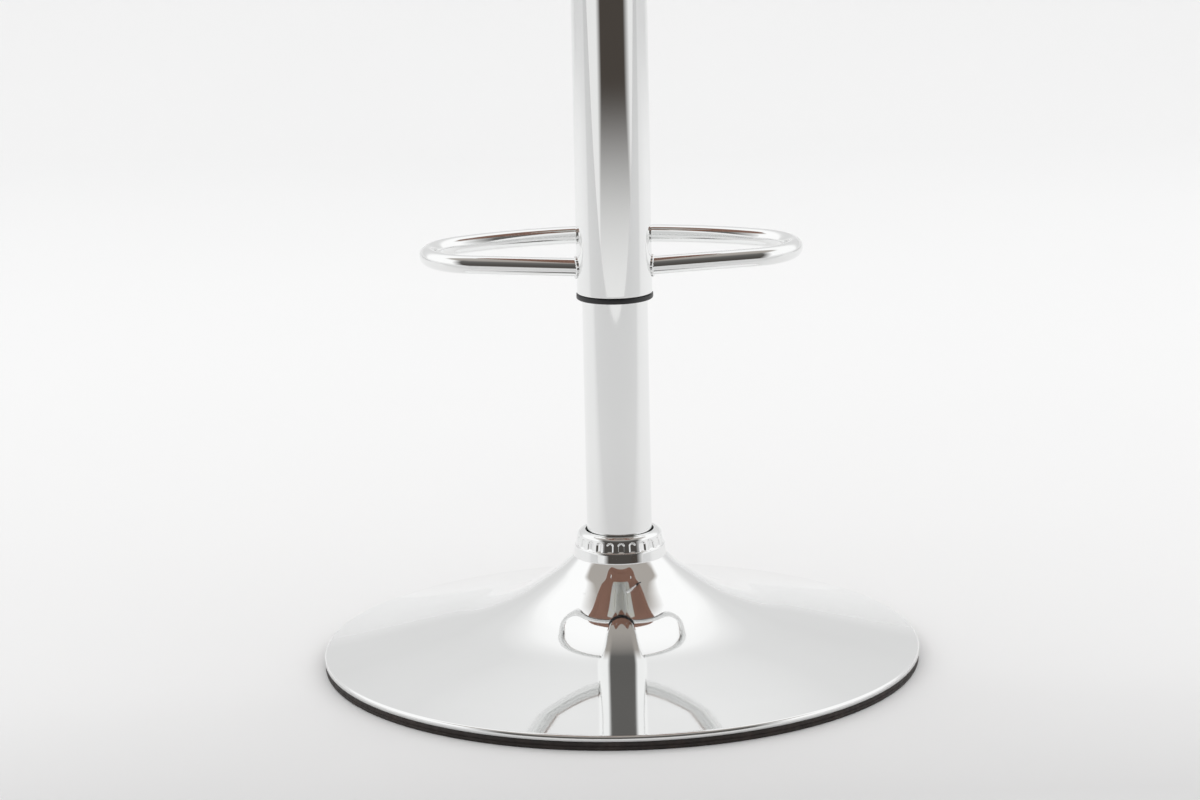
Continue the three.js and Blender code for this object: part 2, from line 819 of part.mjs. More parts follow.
// Closed surface through rings of equal count, with a fan over the first and last
function loft(rings) {
  const count = rings[0].length;
  const points = rings.flat();
  const faces = [];
  for (let level = 1; level < rings.length; level += 1) addStrip(faces, count, level - 1, level);
  addFan(points, faces, rings[0], 0, false);
  addFan(points, faces, rings[rings.length - 1], (rings.length - 1) * count, true);
  return meshOf(points, faces);
}

// Band of faces between two rings, which are given by their places in the list of rings
function addStrip(faces, count, low, high) {
  for (let i = 0; i < count; i += 1) {
    const next = (i + 1) % count;
    faces.push(low * count + i, low * count + next, high * count + next);
    faces.push(low * count + i, high * count + next, high * count + i);
  }
}

function meshOf(points, faces) {
  const geometry = new THREE.BufferGeometry().setFromPoints(points);
  geometry.setIndex(faces);
  return closed(geometry);
}

function addFan(points, faces, outline, start, upward) {
  const centre = outline.reduce((sum, point) => sum.add(point), new THREE.Vector3());
  centre.divideScalar(outline.length);
  const hub = points.push(centre) - 1;
  for (let i = 0; i < outline.length; i += 1) {
    const a = start + i;
    const b = start + ((i + 1) % outline.length);
    if (upward) faces.push(hub, a, b);
    else faces.push(hub, b, a);
  }
}

function disc(x, y, radius, foot, top, segments = facets.small) {
  const cutter = ring(0, radius, foot, top, segments);
  cutter.translate(x, y, 0);
  return cutter;
}

function box(low, high) {
  const shape = new THREE.Shape();
  shape.moveTo(low.x, low.y);
  shape.lineTo(high.x, low.y);
  shape.lineTo(high.x, high.y);
  shape.lineTo(low.x, high.y);
  return prism(shape, low.z, high.z);
}

function screwPlaces() {
  const half = pan.screwSpacing / 2;
  return [[half, half], [-half, half], [-half, -half], [half, -half]];
}

// Pressed seat plate: flange, sloping pan, two ears for the lever's pin and a tapered socket below
function seatPlate() {
  const few = facets.plateCorner;
  const flangeFoot = panTop - pan.thickness;
  const inset = 2 * pan.thickness;
  const flange = loft([
    squareRing(pan.width, pan.cornerRadius, flangeFoot, few),
    squareRing(pan.width, pan.cornerRadius, panTop, few),
  ]);
  const outside = loft([
    squareRing(pan.bottomWidth, pan.bottomCornerRadius, panFoot, few),
    squareRing(pan.topWidth, pan.topCornerRadius, flangeFoot + overrun / 2, few),
  ]);
  const riseShare = pan.thickness / (pan.depth - pan.thickness);
  const slope = (pan.topWidth - pan.bottomWidth) * riseShare;
  const inside = loft([
    squareRing(pan.bottomWidth - inset + slope, pan.bottomCornerRadius - pan.thickness, panFloor, few),
    squareRing(pan.topWidth - inset, pan.topCornerRadius - pan.thickness, panTop + overrun, few),
  ]);
  const earHalf = ear.width / 2;
  const earTop = Math.min(leverHeight + earHalf, panTop) - clearance;
  const ears = [-1, 1].map((side) => {
    const near = side * (ear.gap / 2);
    const far = side * (ear.gap / 2 + ear.thickness);
    return box(
      new THREE.Vector3(pivot.distance - earHalf, Math.min(near, far), panFloor - pan.thickness / 2),
      new THREE.Vector3(pivot.distance + earHalf, Math.max(near, far), earTop),
    );
  });
  const socketFoot = panFoot - pan.socketLength;
  const socket = ring(0, pan.socketRadius, socketFoot, panFloor - pan.thickness / 2, facets.inner);
  const plate = join(cut(join(flange, outside), inside), socket, ...ears);
  return cut(plate, socketBore(), leverSlot(), pivotBore(), ...screwHoles(pan.thickness));
}

function socketBore() {
  const foot = panFoot - pan.socketLength - overrun;
  const top = panFloor + overrun;
  const taperFoot = cylinderTop - cylinder.taperLength;
  const outline = [[0, foot], [cylinderRadiusAt(foot) + clearance, foot]];
  if (taperFoot > foot) outline.push([cylinder.radius + clearance, taperFoot]);
  outline.push([cylinderRadiusAt(top) + clearance, top], [0, top]);
  return revolve(outline, facets.inner);
}

// Window in the pan's side that the lever swings in
function leverSlot() {
  const half = lever.radius + pan.windowGap;
  const wall = pan.bottomWidth / 2;
  const drop = (wall - pivot.distance) * Math.tan(lever.slope);
  const foot = leverHeight - drop - 2 * lever.radius - clearance;
  return box(
    new THREE.Vector3(wall - pan.thickness - overrun, -half, Math.max(foot, panFloor + clearance)),
    new THREE.Vector3(pan.topWidth / 2 + overrun, half, panTop - pan.thickness - clearance),
  );
}

function pivotBore() {
  const half = ear.gap / 2 + ear.thickness + overrun;
  return bar(
    new THREE.Vector3(pivot.distance, -half, leverHeight),
    new THREE.Vector3(pivot.distance, half, leverHeight),
    pivot.radius + clearance,
    facets.tiny,
  );
}

function screwHoles(thickness, top = panTop) {
  return screwPlaces().map(([x, y]) =>
    disc(x, y, screw.radius + clearance, top - thickness - overrun, top + overrun, facets.tiny),
  );
}

// Pin through the ears, with a small head on one end
function leverPivot() {
  const half = ear.gap / 2 + ear.thickness + pivot.overhangLength;
  const y = (value) => new THREE.Vector3(pivot.distance, value, leverHeight);
  const shank = bar(y(-half), y(half), pivot.radius, facets.tiny);
  const head = bar(y(-half - pivot.overhangLength), y(-half), pivot.headRadius, facets.tiny);
  return join(shank, head);
}

// Bent bar: level over the release pin, then sloping down from its pivot to the grip
function leverRod() {
  const at = (x, z) => new THREE.Vector3(x, 0, z);
  const elbow = at(pivot.distance, leverHeight);
  const run = lever.length * Math.cos(lever.slope);
  const drop = lever.length * Math.sin(lever.slope);
  const inner = bar(at(-lever.innerLength, leverHeight), elbow, lever.radius, facets.tiny);
  const outer = bar(elbow, at(pivot.distance + run, leverHeight - drop), lever.radius, facets.tiny);
  const half = lever.barrelWidth / 2;
  const across = (value) => new THREE.Vector3(pivot.distance, value, leverHeight);
  const barrel = bar(across(-half), across(half), lever.barrelRadius, facets.barrel);
  const bore = bar(across(-half - overrun), across(half + overrun), pivot.radius + clearance, facets.tiny);
  return cut(join(inner, outer, barrel), bore);
}

// Moulded grip, a sleeve with a closed rounded end
function leverGrip() {
  const bore = lever.radius + clearance;
  const boreEnd = lever.length - grip.startDistance + clearance;
  const body = new THREE.Path();
  body.moveTo(grip.neckRadius, 0);
  body.quadraticCurveTo(grip.radius, 0, grip.radius, grip.shoulderLength);
  body.lineTo(grip.radius - grip.waistDepth, grip.middleLength);
  body.lineTo(grip.radius, grip.length - grip.endRadius);
  body.quadraticCurveTo(grip.radius, grip.length, grip.radius - grip.endRadius, grip.length);
  const outline = body.getPoints(facets.bend).map(({ x, y }) => [x, y]);
  const sleeve = revolve(
    [[bore, 0], ...outline, [0, grip.length], [0, boreEnd], [bore, boreEnd]],
    facets.small,
  );
  sleeve.rotateY(Math.PI / 2);
  sleeve.translate(grip.startDistance, 0, 0);
  sleeve.rotateY(lever.slope);
  sleeve.translate(pivot.distance, 0, leverHeight);
  return sleeve;
}

function releasePin() {
  const foot = cylinderTop - pin.length;
  return revolve(
    [
      [0, foot],
      [pin.radius, foot],
      [pin.radius, pinHeadFoot],
      [pin.headRadius, pinHeadFoot],
      [pin.headRadius, pinTop - pin.crownHeight],
      [pin.crownRadius, pinTop - pin.crownEdgeHeight],
      [0, pinTop],
    ],
    facets.small,
  );
}

// Socket-head screw, driven up from under the flange
function plateScrew([x, y]) {
  const seatHeight = panTop - pan.thickness - clearance;
  const foot = seatHeight - screw.headHeight;
  const piece = revolve(
    [
      [0, foot + screw.socketDepth],
      [screw.socketRadius, foot + screw.socketDepth],
      [screw.socketRadius, foot],
      [screw.headRadius, foot],
      [screw.headRadius, seatHeight],
      [screw.radius, seatHeight],
      [screw.radius, seatHeight + screw.length],
      [0, seatHeight + screw.length],
    ],
    facets.tiny,
  );
  piece.translate(x, y, 0);
  return piece;
}

// Tee nut let into the board's top
function teeNutSolid([x, y]) {
  const flangeFoot = boardTop - teeNut.flangeThickness - clearance;
  const flangeTop = boardTop - clearance;
  const bore = screw.radius + clearance;
  const piece = revolve(
    [
      [bore, flangeFoot - teeNut.depth + clearance],
      [teeNut.barrelRadius, flangeFoot - teeNut.depth + clearance],
      [teeNut.barrelRadius, flangeFoot],
      [teeNut.flangeRadius, flangeFoot],
      [teeNut.flangeRadius, flangeTop],
      [bore, flangeTop],
    ],
    facets.tiny,
  );
  piece.translate(x, y, 0);
  return piece;
}

// Outline of the seat drawn in by an inset, at a height
function seatRing(inset, height) {
  const share = (seat.width - 2 * inset) / seat.width;
  return squareRing(seat.width * share, seat.cornerRadius * share, height);
}

function seatBoard() {
  const inset = seat.drawInDepth + seat.clothThickness + clearance * 2;
  const body = loft([seatRing(inset, boardFoot), seatRing(inset, boardTop)]);
  const sink = teeNut.flangeThickness + 2 * clearance;
  const cutters = screwPlaces().flatMap(([x, y]) => [
    disc(x, y, teeNut.barrelRadius + clearance, boardFoot - overrun, boardTop + overrun, facets.tiny),
    disc(x, y, teeNut.flangeRadius + clearance, boardTop - sink, boardTop + overrun, facets.tiny),
  ]);
  return cut(body, ...cutters);
}

// Cloth panel that closes the underside, inside the cover's turned-under edge
function undersideCover() {
  const inset = seat.drawInDepth + seat.wrapWidth + clearance;
  const body = loft([seatRing(inset, coverFoot), seatRing(inset, coverFoot + seat.clothThickness)]);
  return cut(body, ...screwHoles(seat.clothThickness, coverFoot + seat.clothThickness));
}

// Rings of the cushion's outer skin, moved in by a depth, from the board's level up to the crown
function cushionRings(depth) {
  const crown = seat.height - seat.edgeHeight;
  const seam = sideInsetShares.length - 1;
  const sides = sideInsetShares.map((share, i) => {
    const height = coverFoot + seat.edgeHeight * sideHeightShares[i];
    return seatRing(seat.drawInDepth * share + depth, i === seam ? height - depth : height);
  });
  const seamInset = seat.drawInDepth * sideInsetShares[seam];
  const top = crownInShares.map((share, i) => {
    const inset = seamInset + (seat.width / 2 - seamInset) * share;
    const height = coverFoot + seat.edgeHeight + crown * crownRiseShares[i] - depth;
    return seatRing(Math.max(inset, seamInset + depth), height);
  });
  return [...sides, ...top];
}

// Leathercloth skin, turned under the board's edge
function seatCover() {
  const turned = seat.drawInDepth + seat.wrapWidth;
  const corner = seat.drawInDepth + seat.clothThickness;
  const inside = coverFoot + seat.clothThickness;
  const outer = [seatRing(turned, coverFoot), seatRing(corner, coverFoot), ...cushionRings(0)];
  const inner = [
    ...cushionRings(seat.clothThickness).reverse(),
    seatRing(corner, inside),
    seatRing(turned, inside),
  ];
  return skinBetween(outer, inner);
}

// Thin closed skin: outer rings up to a top centre, inner rings back down, joined at the turned edge
function skinBetween(outer, inner) {
  const count = outer[0].length;
  const rings = [...outer, ...inner];
  const points = rings.flat();
  const faces = [];
  const crown = outer.length - 1;
  for (let level = 0; level < rings.length; level += 1) {
    if (level !== crown) addStrip(faces, count, level, (level + 1) % rings.length);
  }
  addFan(points, faces, outer[crown], crown * count, true);
  addFan(points, faces, inner[0], outer.length * count, false);
  return meshOf(points, faces);
}

// Foam block on the board, filling the cover
function seatFoam() {
  const depth = seat.clothThickness + clearance;
  const foot = boardTop + clearance;
  const above = cushionRings(depth).filter((outline) => outline[0].z > foot + clearance);
  const lowest = cushionRings(depth).filter((outline) => outline[0].z <= foot + clearance).pop();
  const bottom = lowest.map((point) => new THREE.Vector3(point.x, point.y, foot));
  return loft([bottom, ...above]);
}

const stool = new THREE.Group();

function add(name, geometry, material) {
  const mesh = new THREE.Mesh(geometry, material);
  mesh.name = name;
  stool.add(mesh);
}

// Base, which stands still
add('base_shell', baseShell(), chrome);
add('base_gasket', baseGasket(), rubber);
add('hub_socket', hubSocket(), blackSteel);
add('base_brace', baseBrace(), blackSteel);
add('fluted_collar', flutedCollar(), chrome);
add('lower_tube', lowerTubeSolid(), chrome);
add('tube_foot_plate', tubeFootPlate(), steel);
add('guide_bush', guideBush(), blackPlastic);
add('bearing_lower_race', bearingRace(footTop + clearance), steel);

// Bearing cage and rod, which turn on the base
add('bearing_ball_cage', ballCage(), steel);
add('bearing_upper_race', bearingRace(upperRaceFoot), steel);
add('piston_rod', pistonRod(), steel);
add('piston_head', pistonHead(), steel);
add('rubber_bump_stop', rubberBumpStop(), rubber);
add('rod_washer', rodWasherRing(), zinc);
add('rod_clip', rodClipRing(), steel);

// What rises and turns with the seat
add('upper_tube', upperTubeSolid(), chrome);
add('bottom_bushing', bottomBushing(), blackPlastic);
add('footrest_loop', footrestLoop(), chrome);
add('tube_centring_ring', ring(
  pan.socketRadius + clearance,
  upperTubeInside - clearance,
  upperTubeTop - centringRing.height,
  upperTubeTop,
  facets.column,
), blackPlastic);
add('gas_cylinder', gasCylinder(), blackSteel);
add('rod_guide_seal', rodGuideSeal(), blackPlastic);
add('seat_plate', seatPlate(), zinc);
screwPlaces().forEach((place, index) => {
  add(`plate_screw_${index + 1}`, plateScrew(place), zinc);
  add(`tee_nut_${index + 1}`, teeNutSolid(place), zinc);
});
add('lever_pivot_pin', leverPivot(), zinc);
add('seat_board', seatBoard(), plywood);
add('seat_underside_cover', undersideCover(), leathercloth);
add('seat_foam', seatFoam(), foam);
add('seat_cover', seatCover(), leathercloth);

// Lift control
add('lever_rod', leverRod(), chrome);
add('lever_grip', leverGrip(), blackPlastic);
add('release_pin', releasePin(), steel);

export default stool;
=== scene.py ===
"""Counter stool: finished pieces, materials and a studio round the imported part, in metres.

The file is laid out as an add-on. Run as a script, it makes each group of pieces in turn.
"""

import math

import bmesh
import bpy
from bpy.props import FloatProperty, FloatVectorProperty, IntProperty
from mathutils import Matrix, Vector
from mathutils.bvhtree import BVHTree
from mathutils.geometry import interpolate_bezier


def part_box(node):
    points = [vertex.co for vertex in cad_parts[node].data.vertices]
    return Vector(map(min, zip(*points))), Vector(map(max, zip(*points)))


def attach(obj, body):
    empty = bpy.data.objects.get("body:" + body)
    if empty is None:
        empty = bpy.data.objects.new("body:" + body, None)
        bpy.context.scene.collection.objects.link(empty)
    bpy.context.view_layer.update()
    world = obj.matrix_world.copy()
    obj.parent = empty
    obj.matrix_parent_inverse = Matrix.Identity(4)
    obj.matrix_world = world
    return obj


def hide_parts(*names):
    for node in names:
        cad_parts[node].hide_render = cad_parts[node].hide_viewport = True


bl_info = {
    "name": "Counter stool",
    "version": (1, 0, 0),
    "blender": (4, 5, 0),
    "location": "3D View > Sidebar > Stool",
    "description": "Makes the finished pieces of a gas lift counter stool round its packed part",
    "category": "Object",
}

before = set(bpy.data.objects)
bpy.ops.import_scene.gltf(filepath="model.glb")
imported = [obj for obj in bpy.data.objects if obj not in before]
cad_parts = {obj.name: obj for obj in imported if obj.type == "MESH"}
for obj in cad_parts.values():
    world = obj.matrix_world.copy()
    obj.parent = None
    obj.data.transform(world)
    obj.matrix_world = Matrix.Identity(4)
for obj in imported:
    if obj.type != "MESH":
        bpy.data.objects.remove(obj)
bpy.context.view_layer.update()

FULL_TURN = 2 * math.pi
MM = 0.001
LOOP = 1.6 * MM
UP = Vector((0, 0, 1))
CIRCLE_PULL = 0.552
SHARP_EDGE = math.radians(35)
SHARPER_EDGE = math.radians(50)

# The trumpet's outer face, within 1.5 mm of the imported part's: its fall in degrees at radii in mm
SHEET = 1.6 * MM
FALLS = (
    (29.5, 49), (33, 45), (36, 43), (40, 41.6), (43, 36.4), (46, 35.2), (51, 34.1), (56, 33.6), (61, 32.9),
    (65, 31.5), (68, 30), (72, 27.7), (76, 25.5), (80, 23.7), (84, 22.4), (89, 21.2), (97, 18.6), (104, 15.8),
    (110, 13.4), (116, 12.4), (125, 12.4), (140, 12.7), (160, 12.8), (180, 12.8), (203, 12.1))
FALL_STEP = 0.75 * MM
SPOUT = Vector((27, 0, 83)) * MM
SPOUT_ROUND = 2.4 * MM
RIM_ROUND = 2 * MM

# The collar's outer face
COLLAR_BAND_TOP = Vector((30.8, 0, 81.23)) * MM
COLLAR_LEDGE = 0.8 * MM
COLLAR_WALL_TOP = Vector((28.7, 0, 89.23)) * MM
COLLAR_LIP = 24.6 * MM
COLLAR_HOLE = 23.4 * MM
COLLAR_SHEET = 1.7 * MM
COLLAR_ROWS = 26
STEPS_PER_FLUTE = 16
FLUTE_FOOT = 0.3 * MM
FLUTE_SLOPE = 0.8 * MM

# The tubes' walls
LOWER_WALL = 2 * MM
UPPER_WALL = 1.5 * MM

# The footrest's centre line
FOOTREST_WIDTH = 253 * MM
FOOTREST_REAR_RADIUS = 200 * MM
FOOTREST_CORNER = 42 * MM
FOOTREST_TUBE = 6.25 * MM

# How far the footrest's ends go into the column, and their welds
FOOTREST_INSIDE = 1.2 * MM
WELD_POINTS = 96
WELD_RIPPLES = 22
WELD_SWELL = 0.16

# The lift lever, from its pivot out
LEVER_SLOPE = math.radians(12)
LEVER_LENGTH = 158 * MM
LEVER_INNER_END = -3 * MM
GRIP_START = 112 * MM
GRIP_LENGTH = 58 * MM
LEVER_BAR = 4 * MM
LEVER_BEND = 8 * MM

# The cushion: its outline, its foot pushed out over the board, its foam, seams, gathers and screws
SEAT_WIDTH = 380 * MM
SEAT_CORNER = 64 * MM
SEAT_DRAW_IN = 13 * MM
SEAM_BELOW_CROWN = 12.6 * MM
FOOT_EDGE = 7 * MM
FOOT_PUSH = 3.7 * MM
BLOCK_SLACK = 3 * MM
FOAM_NARROWER = 22 * MM
FOAM_LOWER = 8 * MM
HELD_HEIGHT = 11 * MM
SEAM_WIDTH = 2.2 * MM
SEAM_DEPTH = 1.2 * MM
GATHERS = 44
GATHER_DEPTH = 0.75 * MM
GATHER_HEIGHT = 34 * MM
STITCH_DROP = 5.2 * MM
STITCH_THICKNESS = 0.42 * MM
PANEL_SCREW = Vector((122, 122, 0)) * MM

# The cloth's run
CLOTH_FRAMES = 20
CLOTH_SETTINGS = {
    "quality": 6,
    "mass": 0.35,
    "tension_stiffness": 18,
    "compression_stiffness": 18,
    "shear_stiffness": 8,
    "bending_stiffness": 1.5,
    "use_pressure": True,
    "uniform_pressure_force": 4,
    "vertex_group_mass": "held",
}

# The photograph's camera, before its turn round the column and its roll
CAMERA_PLACE = Vector((-0.0115, -2.2552, 0.6958))
CAMERA_AIM = Vector((-0.0115, 0, 0.1818))
CAMERA_LENS = 102.0
CAMERA_ROUND = math.radians(-1.5)
CAMERA_ROLL = math.radians(-1.22)

# The studio's lamps, each with its place, aim, side and watts, and its pale surroundings
LAMPS = (
    ("lamp_left", (-2.2, 1.4, 1.9), (0, 0, 0.2), 1.4, 9),
    ("lamp_right", (2.2, 1.4, 1.9), (0, 0, 0.2), 1.4, 9),
    ("lamp_top", (0, 0.9, 3.2), (0, 0.5, 0), 2.6, 16))
WORLD_LIGHT = 0.78
WORLD_SEEN = (0.91, 0.91, 0.91)

# The room that the chrome mirrors, painted on glowing surfaces, its floor from the camera up to a line, and
# two of its painted tones
ROOM_RADIUS = 9
FLOOR_RADIUS = 8
FLOOR_NEAR = -1.2
PALE = (0.93, 0.93, 0.93)
CEILING = (0.44, 0.41, 0.38)


def length_property(name, description, millimetres):
    return FloatProperty(
        name=name, description=description, default=millimetres * MM, unit="LENGTH", precision=5)


class StoolSizes(bpy.types.PropertyGroup):
    """Sizes of the finish that the part's source leaves open."""

    turn_steps: IntProperty(
        name="Turn steps", description="Steps round each turned piece", default=144, min=24)
    flute_count: IntProperty(name="Flutes", description="Arched flutes round the collar", default=24, min=3)
    flute_width: length_property("Flute width", "Width of one flute", 4.6)
    flute_height: length_property("Flute height", "Height of one flute", 7)
    flute_depth: length_property("Flute depth", "How deep a flute is pressed", 0.55)
    weld_bead: length_property("Weld bead", "Half thickness of the footrest's welds", 1.1)
    cloth_voxel: length_property("Cloth grid", "Grid that the cushion is simulated on", 5)
    cloth_rise: length_property("Cushion rise", "Most that a point of the cushion may swell", 5)
    welt_radius: length_property("Welt radius", "Radius of the piping round the top panel", 2.6)
    stitch_length: length_property("Stitch length", "Length of one stitch", 4.2)
    stitch_pitch: length_property("Stitch pitch", "Distance from one stitch to the next", 5.8)


def colour_property(name, description, default):
    return FloatVectorProperty(
        name=name, description=description, default=default, subtype="COLOR", size=3, min=0, max=1)


class StoolColours(bpy.types.PropertyGroup):
    """Colours of the stool and its studio."""

    chrome: colour_property("Chrome", "Polished chrome plate", (0.87, 0.875, 0.872))
    leathercloth: colour_property("Leathercloth", "Brown coated cloth of the seat", (0.27, 0.138, 0.095))
    thread: colour_property("Thread", "Sewing thread", (0.17, 0.09, 0.065))
    rubber: colour_property("Rubber", "Ring under the base", (0.018, 0.012, 0.010))
    plastic: colour_property("Black plastic", "Moulded bushings and grip", (0.012, 0.012, 0.013))
    zinc: colour_property("Zinc", "Zinc plated seat plate and fasteners", (0.62, 0.63, 0.62))
    steel: colour_property("Bare steel", "Turned and ground steel", (0.48, 0.48, 0.49))
    black_steel: colour_property("Black steel", "Black coated steel", (0.020, 0.020, 0.022))
    plywood: colour_property("Plywood", "Birch plywood seat board", (0.52, 0.33, 0.16))
    foam: colour_property("Foam", "Seat foam", (0.72, 0.64, 0.42))
    floor: colour_property("Floor", "Studio floor and backdrop", (0.92, 0.92, 0.92))


def sizes():
    return bpy.context.scene.stool_sizes


def colours():
    return bpy.context.scene.stool_colours


# Mesh helpers

def new_object(name, data):
    made = bpy.data.objects.new(name, data)
    bpy.context.scene.collection.objects.link(made)
    return made


def new_mesh(name, bm):
    """The bmesh as a mesh; the bmesh is freed."""
    mesh = bpy.data.meshes.new(name)
    bm.to_mesh(mesh)
    bm.free()
    return mesh


def evaluated_mesh(holder):
    """The holder's mesh as its modifiers and settings make it."""
    return bpy.data.meshes.new_from_object(holder.evaluated_get(bpy.context.evaluated_depsgraph_get()))


def hand_over(name, bm, finish, body, replaced=(), sharp=SHARP_EDGE):
    """Turns a bmesh into a finished piece that rides on a body."""
    return place_mesh(name, new_mesh(name, bm), finish, body, replaced, sharp)


def place_mesh(name, mesh, finish, body, replaced=(), sharp=SHARP_EDGE):
    mesh.materials.clear()
    mesh.materials.append(finish)
    mesh.shade_smooth()
    if sharp:
        mesh.set_sharp_from_angle(angle=sharp)
    piece = new_object(name, mesh)
    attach(piece, body)
    if replaced:
        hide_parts(*replaced)
    return piece


def at(x, z):
    """A point of an outline, in the XZ plane."""
    return Vector((x, 0, z))


def spin_outline(points, steps, closed=True):
    """Turned solid: an outline in the XZ plane, spun once round Z."""
    bm = bmesh.new()
    corners = [bm.verts.new(point) for point in points]
    pairs = list(zip(corners, corners[1:]))
    if closed:
        pairs.append((corners[-1], corners[0]))
    edges = [bm.edges.new(pair) for pair in pairs]
    bmesh.ops.spin(
        bm, geom=corners + edges, cent=(0, 0, 0), axis=UP, angle=FULL_TURN, steps=steps, use_merge=True)
    bmesh.ops.remove_doubles(bm, verts=bm.verts, dist=1e-6)
    bmesh.ops.recalc_face_normals(bm, faces=bm.faces)
    return bm


def turned_piece(name, outline, finish, body, replaced):
    hand_over(name, spin_outline(outline, sizes().turn_steps), finish, body, [replaced])


def curve_points(*runs, steps=8):
    """Points along joined cubic curves, each given as start, handle, handle, end."""
    points = [runs[0][0]]
    for run in runs:
        points += interpolate_bezier(*run, steps + 1)[1:]
    return points


def quarter_round(start, corner, end, steps=5):
    """Points of a rounded corner from start to end, with the sharp corner between them."""
    start, corner, end = Vector(start), Vector(corner), Vector(end)
    return interpolate_bezier(
        start, start.lerp(corner, CIRCLE_PULL), end.lerp(corner, CIRCLE_PULL), end, steps + 1)


def foot_round(x, z, radius, steps):
    """Rounded lower edge of an outline that goes up."""
    return quarter_round(at(x - radius, z), at(x, z), at(x, z + radius), steps)


def top_round(x, z, radius, steps):
    """Rounded upper edge of an outline that goes up."""
    return quarter_round(at(x, z - radius), at(x, z), at(x - radius, z), steps)


def arc_points(centre, radius, start, end, steps, height):
    turn = (end - start) / steps
    return [
        Vector((
            centre[0] + radius * math.cos(start + turn * i),
            centre[1] + radius * math.sin(start + turn * i),
            height,
        ))
        for i in range(steps + 1)
    ]


def round_edges(bm, edges, radius, steps, **settings):
    bmesh.ops.bevel(
        bm, geom=edges, offset=radius, segments=steps, profile=0.5, affect="EDGES", material=-1, **settings)


def rounded_block(width, foot, top, corner, steps):
    """A square block between two heights, with its upright edges rounded."""
    bm = bmesh.new()
    bmesh.ops.create_cube(bm, size=1)
    bmesh.ops.scale(bm, verts=bm.verts, vec=(width, width, top - foot))
    bmesh.ops.translate(bm, verts=bm.verts, vec=(0, 0, (top + foot) / 2))
    upright = [e for e in bm.edges if abs(e.verts[0].co.z - e.verts[1].co.z) > 0.5 * MM]
    round_edges(bm, upright, corner, steps)
    return bm


def narrow_below(bm, height, share):
    """Scales what lies below a height in X and Y."""
    low = [corner for corner in bm.verts if corner.co.z < height]
    bmesh.ops.scale(bm, verts=low, vec=(share, share, 1))


def even_out(bm):
    bmesh.ops.smooth_vert(bm, verts=bm.verts, factor=0.5, use_axis_x=True, use_axis_y=True, use_axis_z=True)


def tube_mesh(name, points, radius, rings=6, cyclic=False, swell=None):
    """Mesh of a round bar along points, with swell giving a factor on the radius at each point."""
    curve = bpy.data.curves.new(name, "CURVE")
    curve.dimensions = "3D"
    curve.bevel_depth = radius
    curve.bevel_resolution = rings
    curve.use_fill_caps = not cyclic
    spline = curve.splines.new("POLY")
    spline.points.add(len(points) - 1)
    for i, point in enumerate(points):
        spline.points[i].co = (*point, 1)
        if swell:
            spline.points[i].radius = swell[i]
    spline.use_cyclic_u = cyclic
    holder = new_object(name, curve)
    bpy.context.view_layer.update()
    mesh = evaluated_mesh(holder)
    bpy.data.objects.remove(holder)
    bpy.data.curves.remove(curve)
    return mesh


def baked(holder, name):
    """The holder's mesh with its modifiers applied; the holder is removed."""
    bpy.context.view_layer.update()
    mesh = evaluated_mesh(holder)
    mesh.name = name
    old = holder.data
    bpy.data.objects.remove(holder)
    bpy.data.meshes.remove(old)
    return mesh


def square_outline(width, corner, height, spacing):
    """Points round a square with rounded corners, evenly spaced."""
    reach = width / 2 - corner
    line = []
    for quarter in range(4):
        start = quarter * math.pi / 2
        centre = Matrix.Rotation(start, 3, "Z") @ Vector((reach, reach, 0))
        line += arc_points(centre, corner, start, start + math.pi / 2, 24, height)
    return even_points(line, spacing)


def even_points(line, spacing):
    """Points an equal distance apart round a closed line."""
    run = line + [line[0]]
    lengths = [(b - a).length for a, b in zip(run, run[1:])]
    total = sum(lengths)
    count = round(total / spacing)
    picked, walked, index = [], 0.0, 0
    for i in range(count):
        target = total * i / count
        while walked + lengths[index] < target:
            walked += lengths[index]
            index += 1
        picked.append(run[index].lerp(run[index + 1], (target - walked) / lengths[index]))
    return picked


def smooth_share(value):
    """0 below 0, 1 above 1, and an even slope between."""
    value = min(max(value, 0), 1)
    return value * value * (3 - 2 * value)


# Material helpers

def add_node(tree, kind, inputs=None, **settings):
    """A new node with its settings, each input linked to a socket or set to a value."""
    made = tree.nodes.new(kind)
    for key, value in settings.items():
        setattr(made, key, value)
    for key, value in (inputs or {}).items():
        if isinstance(value, bpy.types.NodeSocket):
            tree.links.new(value, made.inputs[key])
        else:
            made.inputs[key].default_value = value
    return made


